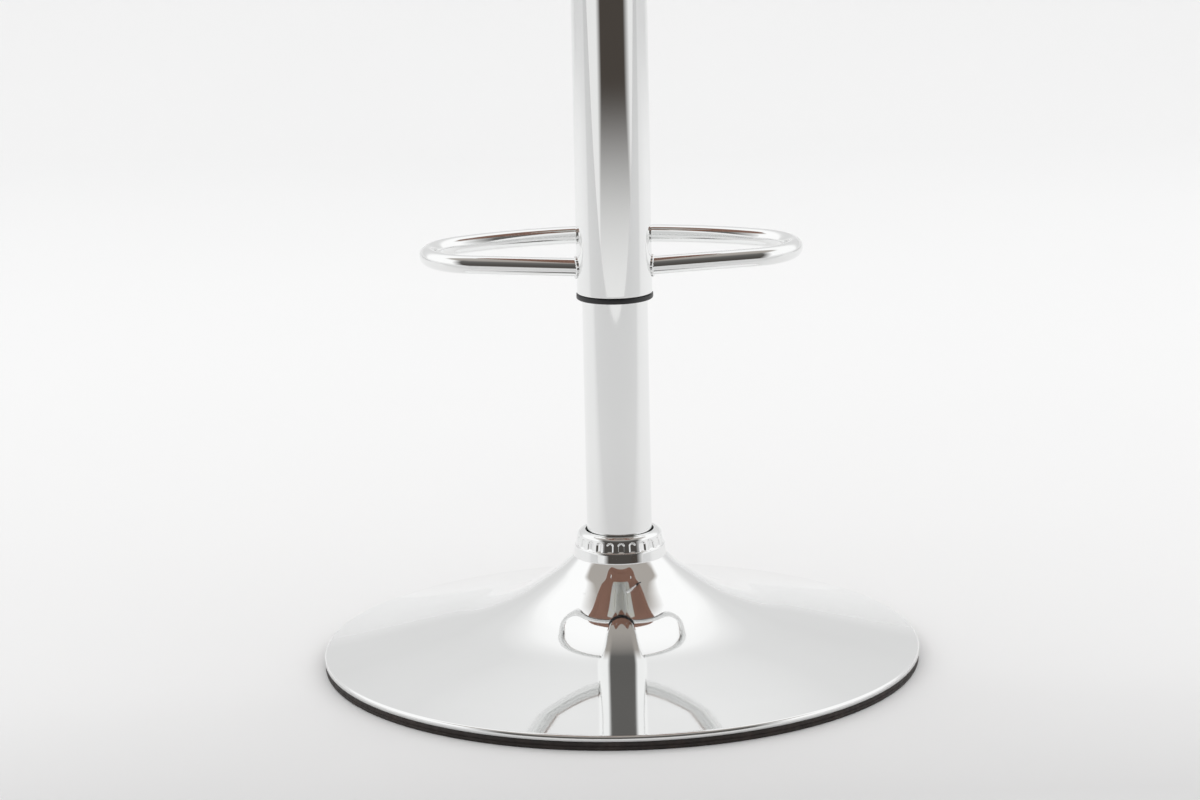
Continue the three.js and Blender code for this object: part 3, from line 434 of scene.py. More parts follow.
class Finish:
    """A material under construction: its node tree, its shader and the object's own coordinates."""

    def __init__(self, name, colour, roughness, metallic=0.0):
        self.material = bpy.data.materials.new(name)
        self.material.use_nodes = True
        self.tree = self.material.node_tree
        self.shader = self.tree.nodes["Principled BSDF"]
        self.shader.inputs["Base Color"].default_value = (*colour, 1)
        self.shader.inputs["Roughness"].default_value = roughness
        self.shader.inputs["Metallic"].default_value = metallic
        self.place = self.tree.nodes.new("ShaderNodeTexCoord").outputs["Object"]

    def node(self, kind, inputs=None, **settings):
        return add_node(self.tree, kind, inputs, **settings)

    def axes(self):
        """The object's own coordinates, a socket for each axis."""
        return self.node("ShaderNodeSeparateXYZ", {0: self.place}).outputs

    def stretched(self, scale, turn=(0, 0, 0)):
        return self.node(
            "ShaderNodeMapping", {"Vector": self.place, "Scale": scale, "Rotation": turn}).outputs[0]

    def noise(self, scale, detail=3.0, roughness=0.5, place=None, distortion=0.0):
        return self.node("ShaderNodeTexNoise", {
            "Vector": place or self.place, "Scale": scale, "Detail": detail, "Roughness": roughness,
            "Distortion": distortion,
        }).outputs["Fac"]

    def cells(self, scale, feature="F1"):
        inputs = {"Vector": self.place, "Scale": scale}
        return self.node("ShaderNodeTexVoronoi", inputs, feature=feature).outputs["Distance"]

    def span(self, value, low, high, start=0.0, end=1.0):
        """Value from low to high, as start to end."""
        return self.node("ShaderNodeMapRange", {
            "Value": value, "From Min": low, "From Max": high, "To Min": start, "To Max": end,
        }).outputs["Result"]

    def ramp(self, value, stops):
        """Grey or coloured value between given stops, each a place from 0 to 1 and a colour."""
        made = self.node("ShaderNodeValToRGB", {"Fac": value})
        elements = made.color_ramp.elements
        for _ in range(len(stops) - len(elements)):
            elements.new(0.5)
        for element, (place, colour) in zip(elements, stops):
            element.position = place
            element.color = (*colour, 1) if isinstance(colour, tuple) else (colour, colour, colour, 1)
        return made.outputs["Color"]

    def maths(self, operation, first, second=0.0, third=0.0):
        return self.node("ShaderNodeMath", {0: first, 1: second, 2: third}, operation=operation).outputs[0]

    def sum(self, first, second, share=1.0):
        """First plus a share of second."""
        return self.maths("MULTIPLY_ADD", second, share, first)

    def blend(self, factor, first, second):
        first, second = (
            part if isinstance(part, bpy.types.NodeSocket) else (*part, 1) for part in (first, second))
        inputs = {"Factor": factor, 6: first, 7: second}
        return self.node("ShaderNodeMix", inputs, data_type="RGBA").outputs[2]

    def paint(self, colour):
        self.tree.links.new(colour, self.shader.inputs["Base Color"])

    def mottle(self, value, low, high, first, second):
        """A colour that goes from first to second as the value goes from low to high."""
        return self.blend(self.span(value, low, high), first, second)

    def gloss(self, value, low, high, start, end):
        """Roughness from start to end as the value goes from low to high."""
        self.tree.links.new(self.span(value, low, high, start, end), self.shader.inputs["Roughness"])

    def relief(self, height, depth, strength=1.0):
        """Bumps from a height of 0 to 1, standing a depth in metres."""
        bump = self.node("ShaderNodeBump", {"Height": height, "Distance": depth, "Strength": strength})
        self.tree.links.new(bump.outputs[0], self.shader.inputs["Normal"])


def shade(colour, factor):
    return tuple(min(1.0, part * factor) for part in colour)


def finish_maker(name, colour, roughness, metallic=0.0):
    """Turns a function that adds detail to a finish into one that makes the material, once, and gives it."""
    def wrap(add_detail):
        def made():
            if name not in bpy.data.materials:
                base = tuple(getattr(colours(), colour))
                add_detail(Finish(name, base, roughness, metallic), base)
            return bpy.data.materials[name]
        return made
    return wrap


@finish_maker("chrome_plate", "chrome", 0.035, 1.0)
def chrome_plate(finish, base):
    film = finish.noise(9, 4, 0.6)
    wipe = finish.noise(60, 3, 0.6, finish.stretched((1, 1, 0.15)))
    finish.paint(finish.mottle(film, 0.35, 0.7, base, shade(base, 0.975)))
    finish.gloss(finish.sum(film, wipe, 0.6), 0.5, 1.1, 0.02, 0.05)
    finish.relief(finish.noise(420, 2, 0.5), 0.00001, 0.02)


@finish_maker("brown_leathercloth", "leathercloth", 0.5)
def leathercloth(finish, base):
    warp = finish.noise(35, 3, 0.5)
    grain = finish.cells(720, "SMOOTH_F1")
    fine = finish.noise(2600, 3, 0.6)
    pores = finish.cells(1500)
    broad = finish.noise(14, 4, 0.55)
    mottled = finish.mottle(broad, 0.3, 0.7, shade(base, 0.9), shade(base, 1.1))
    # painted shade in the grain's valleys and painted light on its raised cells
    grain_painted_shade = finish.mottle(grain, 0.15, 0.75, shade(base, 1.06), shade(base, 0.82))
    finish.paint(finish.blend(0.45, mottled, grain_painted_shade))
    finish.gloss(finish.sum(grain, warp, 0.6), 0.1, 1.1, 0.36, 0.56)
    height = finish.sum(finish.span(grain, 0.0, 0.8, 1.0, 0.0), fine, 0.18)
    finish.relief(finish.sum(height, finish.span(pores, 0.0, 0.25, 0.0, 1.0), 0.1), 0.00022, 0.55)
    finish.shader.inputs["Specular IOR Level"].default_value = 0.45
    finish.shader.inputs["Coat Weight"].default_value = 0.08
    finish.shader.inputs["Coat Roughness"].default_value = 0.3


@finish_maker("sewing_thread", "thread", 0.6)
def thread(finish, base):
    twist = finish.node("ShaderNodeTexWave", {
        "Vector": finish.stretched((1, 1, 1), (0.6, 0.5, 0.8)), "Scale": 900.0, "Distortion": 1.0,
    }).outputs["Fac"]
    # painted shade and light along the twist: darker in its grooves, lighter on its raised strands
    finish.paint(finish.blend(twist, shade(base, 0.75), shade(base, 1.25)))
    finish.gloss(finish.noise(800, 2), 0.3, 0.7, 0.5, 0.7)
    finish.relief(twist, 0.0001, 0.6)


@finish_maker("black_rubber", "rubber", 0.6)
def rubber(finish, base):
    dust = finish.noise(70, 5, 0.65)
    finish.paint(finish.mottle(dust, 0.45, 0.8, base, shade(base, 2.2)))
    finish.gloss(finish.noise(260, 3), 0.3, 0.7, 0.5, 0.75)
    finish.relief(finish.sum(finish.noise(1400, 3, 0.6), finish.cells(420), 0.5), 0.00012, 0.4)


@finish_maker("moulded_black_plastic", "plastic", 0.4)
def moulded_plastic(finish, base):
    spark = finish.cells(1600, "SMOOTH_F1")
    flow = finish.noise(40, 3, 0.5, finish.stretched((1, 1, 0.3)))
    finish.paint(finish.mottle(flow, 0.3, 0.7, base, shade(base, 1.5)))
    finish.gloss(finish.sum(spark, flow, 0.5), 0.2, 1.1, 0.32, 0.5)
    finish.relief(finish.sum(spark, finish.noise(3000, 2), 0.4), 0.00008, 0.5)


@finish_maker("zinc_plate", "zinc", 0.3, 1.0)
def zinc_plate(finish, base):
    cloud = finish.noise(22, 4, 0.6, distortion=0.6)
    tint = (base[0] * 1.04, base[1] * 1.0, base[2] * 0.88)
    finish.paint(finish.mottle(cloud, 0.4, 0.75, base, tint))
    finish.gloss(finish.sum(cloud, finish.noise(300, 3), 0.6), 0.4, 1.1, 0.22, 0.42)
    finish.relief(finish.noise(900, 3, 0.6), 0.00005, 0.25)


@finish_maker("turned_steel", "steel", 0.3, 1.0)
def turned_steel(finish, base):
    rings = finish.noise(900, 2, 0.5, finish.stretched((0.02, 0.02, 1)))
    stain = finish.noise(30, 4, 0.6)
    stained = (base[0] * 0.8, base[1] * 0.74, base[2] * 0.66)
    finish.paint(finish.mottle(stain, 0.45, 0.8, base, stained))
    finish.gloss(finish.sum(rings, stain, 0.5), 0.3, 1.1, 0.2, 0.42)
    finish.relief(rings, 0.00004, 0.35)


@finish_maker("black_coated_steel", "black_steel", 0.45)
def black_coated_steel(finish, base):
    peel = finish.noise(700, 2, 0.4)
    dust = finish.noise(45, 5, 0.65)
    finish.paint(finish.mottle(dust, 0.5, 0.85, base, shade(base, 2.4)))
    finish.gloss(finish.sum(peel, dust, 0.5), 0.4, 1.1, 0.34, 0.58)
    finish.relief(peel, 0.00012, 0.4)


@finish_maker("birch_plywood", "plywood", 0.6)
def plywood(finish, base):
    grain = finish.noise(60, 5, 0.65, finish.stretched((1, 0.08, 1)), 1.2)
    plies = finish.node("ShaderNodeTexWave", {
        "Vector": finish.place, "Scale": 260.0, "Distortion": 0.4, "Detail": 2.0,
    }, bands_direction="Z").outputs["Fac"]
    veneer = finish.mottle(grain, 0.35, 0.7, base, shade(base, 0.66))
    finish.paint(finish.blend(finish.span(plies, 0.45, 0.55, 0.0, 0.35), veneer, shade(base, 0.5)))
    finish.gloss(grain, 0.2, 0.8, 0.5, 0.72)
    finish.relief(grain, 0.0002, 0.3)


@finish_maker("open_cell_foam", "foam", 0.95)
def seat_foam(finish, base):
    bubbles = finish.cells(700)
    patch = finish.noise(18, 4, 0.6)
    yellowed = finish.mottle(patch, 0.35, 0.7, base, shade(base, 0.86))
    # painted shade: darker in the pits of the foam's cells
    finish.paint(finish.mottle(bubbles, 0.1, 0.6, shade(base, 0.7), yellowed))
    finish.relief(bubbles, 0.0005, 0.7)


# Stage

class STOOL_OT_stage(bpy.types.Operator):
    """Makes the studio: floor, backdrop, lamps, world and camera"""

    bl_idname = "stool.stage"
    bl_label = "Studio and camera"

    def execute(self, context):
        context.scene.view_settings.view_transform = "Standard"
        make_paper_sweep()
        make_mirrored_room()
        make_mirrored_floor()
        make_lamps()
        make_world()
        make_camera()
        return {"FINISHED"}


def stage_mesh(name, bm, finish):
    mesh = new_mesh(name, bm)
    mesh.materials.append(finish)
    mesh.shade_smooth()
    piece = new_object(name, mesh)
    return piece


def paper_finish():
    finish = Finish("studio_paper", colours().floor, 0.85)
    cloud = finish.noise(0.8, 3, 0.5)
    paper = finish.mottle(cloud, 0.3, 0.7, colours().floor, shade(colours().floor, 0.985))
    # painted shade: the paper is painted darker towards the camera
    near_painted_shade = finish.maths("POWER", finish.span(finish.axes()[1], 0.02, -0.30), 2.0)
    finish.paint(finish.blend(near_painted_shade, paper, shade(colours().floor, 0.85)))
    finish.shader.inputs["Specular IOR Level"].default_value = 0.1
    return finish.material


def make_paper_sweep():
    """White paper that lies under the stool and curves up behind it."""
    half_width, near, far, top, bend = 7.0, -4.0, 2.8, 0.55, 0.5
    path = [Vector((0, near, 0))]
    path += quarter_round((0, far - bend, 0), (0, far, 0), (0, far, bend), 24)
    path.append(Vector((0, far, top)))
    bm = bmesh.new()
    rows = [[bm.verts.new((side, point.y, point.z)) for side in (-half_width, half_width)] for point in path]
    for (left, right), (next_left, next_right) in zip(rows, rows[1:]):
        bm.faces.new((left, right, next_right, next_left))
    stage_mesh("paper_sweep", bm, paper_finish())


def glow_finish(name):
    """An unlit, glowing material for painted light and painted reflections, with its coordinates and its
    emission shader.
    """
    finish = Finish(name, (0, 0, 0), 1)
    finish.tree.nodes.remove(finish.shader)
    finish.shader = finish.node("ShaderNodeEmission")
    finish.tree.links.new(finish.shader.outputs[0], finish.tree.nodes["Material Output"].inputs["Surface"])
    return finish


def glow(finish, colour):
    finish.tree.links.new(colour, finish.shader.inputs["Color"])


def mirror_only(piece):
    """A studio surface of painted reflection that polished pieces mirror and nothing else sees or is lit by.
    """
    for ray in ("camera", "diffuse", "shadow", "transmission", "volume_scatter"):
        setattr(piece, f"visible_{ray}", False)


def room_edge(finish, parts, height_share, left=1.0):
    """0 in the unlit room in front of the stool, 1 beside it; the room looks wider higher up."""
    around = finish.maths("ARCTAN2", parts[0], finish.maths("MULTIPLY", parts[1], -1.0))
    aside = finish.maths("MAXIMUM", around, finish.maths("MULTIPLY", around, -left))
    if height_share is not None:
        aside = finish.sum(aside, height_share, -math.radians(24))
    return finish.span(aside, math.radians(40), math.radians(58))


def make_mirrored_room():
    """What the chrome mirrors, painted on a glowing sphere: a pale studio with a painted light overhead, and
    the unlit room behind the camera painted dark.
    """
    bm = bmesh.new()
    bmesh.ops.create_uvsphere(bm, u_segments=64, v_segments=32, radius=ROOM_RADIUS)
    finish = glow_finish("mirrored_room")
    parts = finish.axes()
    up = finish.maths("DIVIDE", parts[2], ROOM_RADIUS)
    rise = finish.maths("MAXIMUM", parts[2], 0.5)
    behind = finish.maths("DIVIDE", parts[1], rise)
    beside = finish.maths("ABSOLUTE", finish.maths("DIVIDE", parts[0], rise))
    past_light = finish.sum(behind, beside, -0.5)
    # painted highlight: the studio painted brighter round the light overhead
    overhead = finish.ramp(finish.span(past_light, 0.5, 2.5), (
        (0.0, 1.12), (0.125, 1.05), (0.2, 0.95), (0.275, 0.89), (0.4, 0.82), (0.85, 0.775)))
    pale = finish.blend(finish.span(up, 0.09, 0.24), PALE, overhead)
    # painted reflection: the ceiling painted grey high up on the camera's side
    ceiling = finish.maths("MULTIPLY", finish.span(up, 0.70, 0.80), finish.span(behind, 0.32, 0.18))
    pale = finish.blend(ceiling, pale, CEILING)
    # painted reflection of the unlit room, darkest low down
    dark = finish.ramp(finish.span(up, -0.1, 0.95), (
        (0.0, (0.07, 0.062, 0.056)), (0.5, (0.10, 0.096, 0.09)), (0.8, (0.15, 0.145, 0.14)),
        (0.95, CEILING)))
    glow(finish, finish.blend(room_edge(finish, parts, up), dark, pale))
    mirror_only(stage_mesh("mirrored_room", bm, finish.material))


def make_mirrored_floor():
    """The floor of that room near the camera, painted on a glowing disc: painted light round the stool and at
    its sides, and painted shade between.
    """
    bm = bmesh.new()
    bmesh.ops.create_circle(bm, cap_ends=True, segments=96, radius=FLOOR_RADIUS)
    bmesh.ops.bisect_plane(
        bm, geom=bm.verts[:] + bm.edges[:] + bm.faces[:], plane_co=(0, FLOOR_NEAR, 0), plane_no=(0, 1, 0),
        clear_outer=True)
    bmesh.ops.translate(bm, verts=bm.verts, vec=(0, 0, 0.5 * MM))
    finish = glow_finish("mirrored_floor")
    parts = finish.axes()
    reach = finish.node("ShaderNodeVectorMath", {0: finish.place}, operation="LENGTH").outputs["Value"]
    # painted light that falls off with distance from the stool, into painted shade
    lit = finish.node("ShaderNodeMapRange", {
        "Value": reach, "From Min": 1.2, "From Max": 3.1, "To Min": 1.0, "To Max": 0.0,
    }, interpolation_type="SMOOTHSTEP").outputs["Result"]
    lit = finish.maths("MAXIMUM", lit, room_edge(finish, parts, None, left=1.35))
    glow(finish, finish.blend(lit, (0.07, 0.06, 0.052), (0.91, 0.91, 0.905)))
    mirror_only(stage_mesh("mirrored_floor", bm, finish.material))


def add_lamp(name, place, aim, side, watts):
    lamp = bpy.data.lights.new(name, "AREA")
    lamp.shape = "RECTANGLE"
    lamp.size = side
    lamp.size_y = side
    lamp.energy = watts
    holder = new_object(name, lamp)
    holder.location = place
    holder.rotation_euler = (Vector(aim) - Vector(place)).to_track_quat("-Z", "Y").to_euler()
    holder.visible_glossy = False


def make_lamps():
    for lamp in LAMPS:
        add_lamp(*lamp)


def make_world():
    """Even pale surroundings: one strength lights the stool, the other is what is looked at."""
    world = bpy.data.worlds.new("studio_room")
    bpy.context.scene.world = world
    world.use_nodes = True
    tree = world.node_tree
    light = tree.nodes["Background"]
    light.inputs["Color"].default_value = (1, 1, 1, 1)
    light.inputs["Strength"].default_value = WORLD_LIGHT
    seen = add_node(tree, "ShaderNodeBackground", {"Color": (*WORLD_SEEN, 1), "Strength": 1.0})
    path = add_node(tree, "ShaderNodeLightPath").outputs
    looked = path["Is Camera Ray"]
    for name in ("Is Glossy Ray", "Is Transmission Ray"):
        looked = add_node(tree, "ShaderNodeMath", {0: looked, 1: path[name]}, operation="MAXIMUM").outputs[0]
    choose = add_node(tree, "ShaderNodeMixShader", {0: looked, 1: light.outputs[0], 2: seen.outputs[0]})
    tree.links.new(choose.outputs[0], tree.nodes["World Output"].inputs["Surface"])


def make_camera():
    """The photograph's camera: 2.3 m away, looking down on the base, and a little turned and rolled."""
    data = bpy.data.cameras.new("photo_camera")
    camera = new_object("photo_camera", data)
    data.sensor_fit = "HORIZONTAL"
    data.sensor_width = 36.0
    data.lens = CAMERA_LENS
    data.clip_start = 0.05
    data.clip_end = 50
    data.dof.use_dof = False
    round_column = Matrix.Rotation(CAMERA_ROUND, 3, "Z")
    place = round_column @ CAMERA_PLACE
    aim = round_column @ CAMERA_AIM
    turn = (aim - place).to_track_quat("-Z", "Y").to_matrix()
    roll = Matrix.Rotation(CAMERA_ROLL, 3, "Z")
    camera.matrix_world = Matrix.Translation(place) @ (turn @ roll).to_4x4()
    bpy.context.scene.camera = camera


# Base

class STOOL_OT_trumpet_base(bpy.types.Operator):
    """Makes the chromed trumpet base and the rubber ring that it stands on"""

    bl_idname = "stool.trumpet_base"
    bl_label = "Trumpet base"

    def execute(self, context):
        make_trumpet()
        make_rubber_ring()
        return {"FINISHED"}


def fall_at(radius):
    """The trumpet's fall at a radius in mm, in radians."""
    for (near, high), (far, low) in zip(FALLS, FALLS[1:]):
        if radius <= far:
            return math.radians(high + (low - high) * max(radius - near, 0) / (far - near))
    return math.radians(FALLS[-1][1])


def trumpet_face():
    """Outer face of the trumpet, from the hole in its spout down to the foot of its skirt."""
    low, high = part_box("base_shell")
    rim = high.x
    rim_top = low.z + 3.7 * MM
    hole = at(22.55 * MM, SPOUT.z)
    spout_edge = at(SPOUT.x - SPOUT_ROUND, SPOUT.z)
    spout_side = at(SPOUT.x, SPOUT.z - SPOUT_ROUND)
    cone_foot = at(rim - RIM_ROUND, rim_top)
    flank = [cone_foot]
    while flank[-1].x > FALLS[0][0] * MM:
        middle = (flank[-1].x - FALL_STEP / 2) / MM
        flank.append(flank[-1] + Vector((-1, 0, math.tan(fall_at(middle)))) * FALL_STEP)
    neck = flank[-1]
    rise = Vector((-1, 0, math.tan(fall_at(neck.x / MM))))
    outline = [hole]
    outline += quarter_round(spout_edge, (SPOUT.x, 0, SPOUT.z), spout_side)
    outline += curve_points(
        (spout_side, spout_side - at(0, 2 * MM), neck + rise * 1.5 * MM, neck), steps=6)[1:]
    outline += flank[-2:0:-1]
    outline += quarter_round(cone_foot, (rim, 0, rim_top), (rim, 0, rim_top - RIM_ROUND))
    outline.append(at(rim, low.z))
    return outline


def make_trumpet():
    bm = spin_outline(trumpet_face(), sizes().turn_steps, closed=False)
    piece = hand_over(
        "trumpet_base", bm, chrome_plate(), "base", ["base_shell"], sharp=SHARPER_EDGE)
    wall = piece.modifiers.new("sheet", "SOLIDIFY")
    wall.thickness = SHEET
    wall.offset = -1


def make_rubber_ring():
    """Moulded ring with a bead at its foot, a groove in its side and a lip inside the skirt."""
    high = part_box("base_gasket")[1]
    outer, inner, top = high.x, high.x - 9 * MM, high.z
    step = 6 * MM
    lip_outer, lip_inner = outer - 1.4 * MM, outer - 3.8 * MM
    outline = [at(inner, 0.4 * MM), at(inner + 0.4 * MM, 0)]
    outline += foot_round(outer, 0, 1.2 * MM, 4)
    outline += [at(outer, 2.4 * MM), at(outer - 0.5 * MM, 2.8 * MM)]
    outline += [at(outer - 0.5 * MM, 3.2 * MM), at(outer, 3.6 * MM)]
    outline += top_round(outer, step, 0.6 * MM, 3)
    outline += [at(lip_outer, step), at(lip_outer, top), at(lip_inner, top)]
    outline += [at(lip_inner, step), at(inner, step)]
    turned_piece("rubber_ring", outline, rubber(), "base", "base_gasket")


# Collar

class STOOL_OT_fluted_collar(bpy.types.Operator):
    """Makes the plated collar with its ring of arched flutes"""

    bl_idname = "stool.fluted_collar"
    bl_label = "Fluted collar"

    def execute(self, context):
        make_collar()
        return {"FINISHED"}


def flute_depth_at(size, angle, height, radius):
    """How far the flutes sink the collar's wall at an angle and a height above its ledge."""
    pitch = FULL_TURN / size.flute_count
    across = abs((angle / pitch + 0.5) % 1 - 0.5) * pitch * radius
    half = size.flute_width / 2
    spring = size.flute_height - half
    if height > spring:
        inside = half - math.hypot(across, height - spring)
    else:
        inside = min(half - across, height - FLUTE_FOOT)
    return size.flute_depth * smooth_share(inside / FLUTE_SLOPE)


def make_collar():
    low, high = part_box("fluted_collar")
    foot = at(high.x, low.z + 0.4 * MM)
    wall_foot = COLLAR_BAND_TOP.x - COLLAR_LEDGE
    wall_height = COLLAR_WALL_TOP.z - COLLAR_BAND_TOP.z
    top = high.z
    wall_start = at(wall_foot, COLLAR_BAND_TOP.z + 0.25 * MM)
    outline = [at(high.x - COLLAR_SHEET, low.z + 2.3 * MM), at(high.x - 0.5 * MM, low.z + 0.65 * MM)]
    outline += quarter_round((high.x - 0.25 * MM, 0, low.z + 0.3 * MM), (high.x, 0, low.z), foot, 3)
    band_top = COLLAR_BAND_TOP.lerp(foot, 0.5 * MM / (COLLAR_BAND_TOP.z - foot.z))
    outline += [foot.lerp(band_top, share) for share in (0.12, 0.5, 0.88)]
    outline += quarter_round(band_top, COLLAR_BAND_TOP, COLLAR_BAND_TOP - at(0.5 * MM, 0), 4)
    outline += [wall_start.lerp(COLLAR_WALL_TOP, i / COLLAR_ROWS) for i in range(COLLAR_ROWS + 1)]
    outline += interpolate_bezier(
        COLLAR_WALL_TOP, COLLAR_WALL_TOP + at(-0.5, 1.4) * MM,
        at(COLLAR_LIP + 1.6 * MM, top), at(COLLAR_LIP, top), 9)[1:]
    outline += quarter_round(
        (COLLAR_HOLE + 0.5 * MM, 0, top), (COLLAR_HOLE, 0, top), (COLLAR_HOLE, 0, top - 0.5 * MM), 3)
    outline += [at(COLLAR_HOLE, top - COLLAR_SHEET),
                at(COLLAR_WALL_TOP.x - COLLAR_SHEET, COLLAR_WALL_TOP.z - 0.8 * MM),
                at(wall_foot - COLLAR_SHEET, COLLAR_BAND_TOP.z)]
    flutes = sizes()
    bm = spin_outline(outline, flutes.flute_count * STEPS_PER_FLUTE)
    for corner in bm.verts:
        radius = math.hypot(corner.co.x, corner.co.y)
        height = corner.co.z - COLLAR_BAND_TOP.z
        outer = wall_foot + (COLLAR_WALL_TOP.x - wall_foot) * height / wall_height
        if 0 < height < wall_height + 1e-6 and radius > outer - 0.3 * MM:
            sunk = flute_depth_at(flutes, math.atan2(corner.co.y, corner.co.x), height, radius)
            corner.co.xy *= (radius - sunk) / radius
    hand_over(
        "collar_with_flutes", bm, chrome_plate(), "base", ["fluted_collar"],
        sharp=SHARPER_EDGE)


# Column

class STOOL_OT_column(bpy.types.Operator):
    """Makes the lower tube, the black bushing and the upper tube"""

    bl_idname = "stool.column"
    bl_label = "Column"

    def execute(self, context):
        make_lower_tube()
        make_bushing()
        make_upper_tube()
        return {"FINISHED"}


def make_lower_tube():
    low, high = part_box("lower_tube")
    outer, wall = high.x, LOWER_WALL
    taper_top = low.z + 44 * MM
    foot = outer - 1.6 * MM
    outline = [at(foot - wall, low.z), at(foot - 0.4 * MM, low.z),
               at(foot, low.z + 0.4 * MM), at(outer, taper_top),
               at(outer, taper_top + LOOP), at(outer, high.z - LOOP)]
    outline += top_round(outer, high.z, 0.6 * MM, 4)
    outline += [at(outer - wall, high.z), at(outer - wall, taper_top)]
    turned_piece("lower_column_tube", outline, chrome_plate(), "base", "lower_tube")


def make_bushing():
    low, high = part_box("bottom_bushing")
    outer, bore, sleeve = high.x, 22.5 * MM, 23.7 * MM
    flange_top = low.z + 3.4 * MM
    outline = [at(bore, low.z + 0.3 * MM), at(bore + 0.3 * MM, low.z)]
    outline += foot_round(outer, low.z, 0.9 * MM, 5)
    outline += top_round(outer, flange_top, 0.4 * MM, 3)
    outline += [at(sleeve, flange_top), at(sleeve, high.z), at(bore, high.z)]
    turned_piece(
        "bottom_bushing_ring", outline, moulded_plastic(), "seat", "bottom_bushing")


def make_upper_tube():
    low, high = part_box("upper_tube")
    outer, wall, edge = high.x, UPPER_WALL, 0.7 * MM
    outline = [at(outer - wall, low.z)]
    outline += foot_round(outer, low.z, edge, 5)
    outline += [at(outer, low.z + LOOP), at(outer, high.z - LOOP)]
    outline += top_round(outer, high.z, edge, 5)
    outline.append(at(outer - wall, high.z))
    turned_piece("upper_column_tube", outline, chrome_plate(), "seat", "upper_tube")


# Footrest

class STOOL_OT_footrest(bpy.types.Operator):
    """Makes the bent footrest tube and its two welds"""

    bl_idname = "stool.footrest"
    bl_label = "Footrest"

    def execute(self, context):
        make_footrest_tube()
        make_weld_beads()
        return {"FINISHED"}


def footrest_facts():
    """Height, arm angle and corner centre of the footrest's centre line."""
    low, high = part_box("footrest_loop")
    height = (low.z + high.z) / 2
    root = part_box("upper_tube")[1].x
    reach = high.y - FOOTREST_TUBE
    corner_x = FOOTREST_WIDTH / 2 - FOOTREST_CORNER
    rear_centre = reach - FOOTREST_REAR_RADIUS
    corner_y = rear_centre + math.sqrt((FOOTREST_REAR_RADIUS - FOOTREST_CORNER) ** 2 - corner_x ** 2)
    span = math.hypot(corner_x - root, corner_y)
    arm_angle = math.atan2(corner_y, corner_x - root) - math.asin(FOOTREST_CORNER / span)
    return height, root, arm_angle, corner_x, corner_y, rear_centre


def make_footrest_tube():
    height, root, arm_angle, corner_x, corner_y, rear_centre = footrest_facts()
    rear_angle = math.atan2(corner_y - rear_centre, corner_x)
    start = at(root, height) - FOOTREST_INSIDE * Vector((math.cos(arm_angle), math.sin(arm_angle), 0))
    half = [start]
    half += arc_points((corner_x, corner_y), FOOTREST_CORNER, arm_angle - math.pi / 2, rear_angle, 40, height)
    rear = arc_points((0, rear_centre), FOOTREST_REAR_RADIUS, rear_angle, math.pi / 2, 24, height)
    half += rear[1:]
    line = half + [Vector((-point.x, point.y, point.z)) for point in reversed(half[:-1])]
    mesh = tube_mesh("footrest_tube", line, FOOTREST_TUBE, rings=10)
    place_mesh("footrest_tube", mesh, chrome_plate(), "seat", ["footrest_loop"])


def make_weld_beads():
    """A rippled bead round each end of the footrest, lying in the corner with the column."""
    height, root, arm_angle, *_ = footrest_facts()
    bead = sizes().weld_bead
    across = FOOTREST_TUBE + bead * 0.35
    for side, name in ((1, "right"), (-1, "left")):
        points, swell = [], []
        for i in range(WELD_POINTS):
            turn = FULL_TURN * i / WELD_POINTS
            y = across * math.cos(turn) / math.cos(arm_angle)
            z = across * math.sin(turn)
            x = math.sqrt((root + bead * 0.3) ** 2 - y * y)
            points.append(Vector((side * x, y, height + z)))
            swell.append(1 + WELD_SWELL * math.sin(turn * WELD_RIPPLES + 0.8 * math.sin(turn * 3 + side)))
        mesh = tube_mesh(f"footrest_weld_{name}", points, bead, rings=3, cyclic=True, swell=swell)
        place_mesh(f"footrest_weld_{name}", mesh, chrome_plate(), "seat")


# Seat cushion

class STOOL_OT_seat_cushion(bpy.types.Operator):
    """Makes the padded seat: foam, cover, welt, stitches and the panel under it"""

    bl_idname = "stool.seat_cushion"
    bl_label = "Seat cushion"

    def execute(self, context):
        cover = make_cover()
        make_foam_core()
        make_welt(cover)
        make_stitches(cover)
        make_underside_panel()
        make_panel_screws()
        return {"FINISHED"}


def seat_facts():
    """Width of the seat, and the heights of its foot, its top seam and its crown."""
    low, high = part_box("seat_cover")
    return high.x - low.x, low.z, high.z - SEAM_BELOW_CROWN, high.z


def inset(x, y, width):
    """How far inside the seat's rounded square, or a smaller one like it, a point lies."""
    corner = SEAT_CORNER * width / SEAT_WIDTH
    past_x, past_y = (max(abs(part) - (width / 2 - corner), 0) for part in (x, y))
    return corner - math.hypot(past_x, past_y) if past_x and past_y else width / 2 - max(abs(x), abs(y))


def crown_share(x, y, width):
    """Share of the crown's height that the top panel has at a point."""
    share = min(max(inset(x, y, width) / (width / 2), 0), 1)
    return (1 - (1 - share) ** 3) ** 0.6


def cushion_block():
    """Rounded square block, drawn in at its foot and a little smaller than the finished cushion."""
    width, foot, seam, _ = seat_facts()
    block_width = width - 2 * BLOCK_SLACK
    bm = rounded_block(block_width, foot, seam + 3 * MM, SEAT_CORNER, 14)
    rim = [e for e in bm.edges if all(v.co.z > seam for v in e.verts)]
    round_edges(bm, rim, 6 * MM, 4, clamp_overlap=True)
    narrow_below(bm, foot + 0.01 * MM, (width - 2 * SEAT_DRAW_IN) / block_width)
    return bm


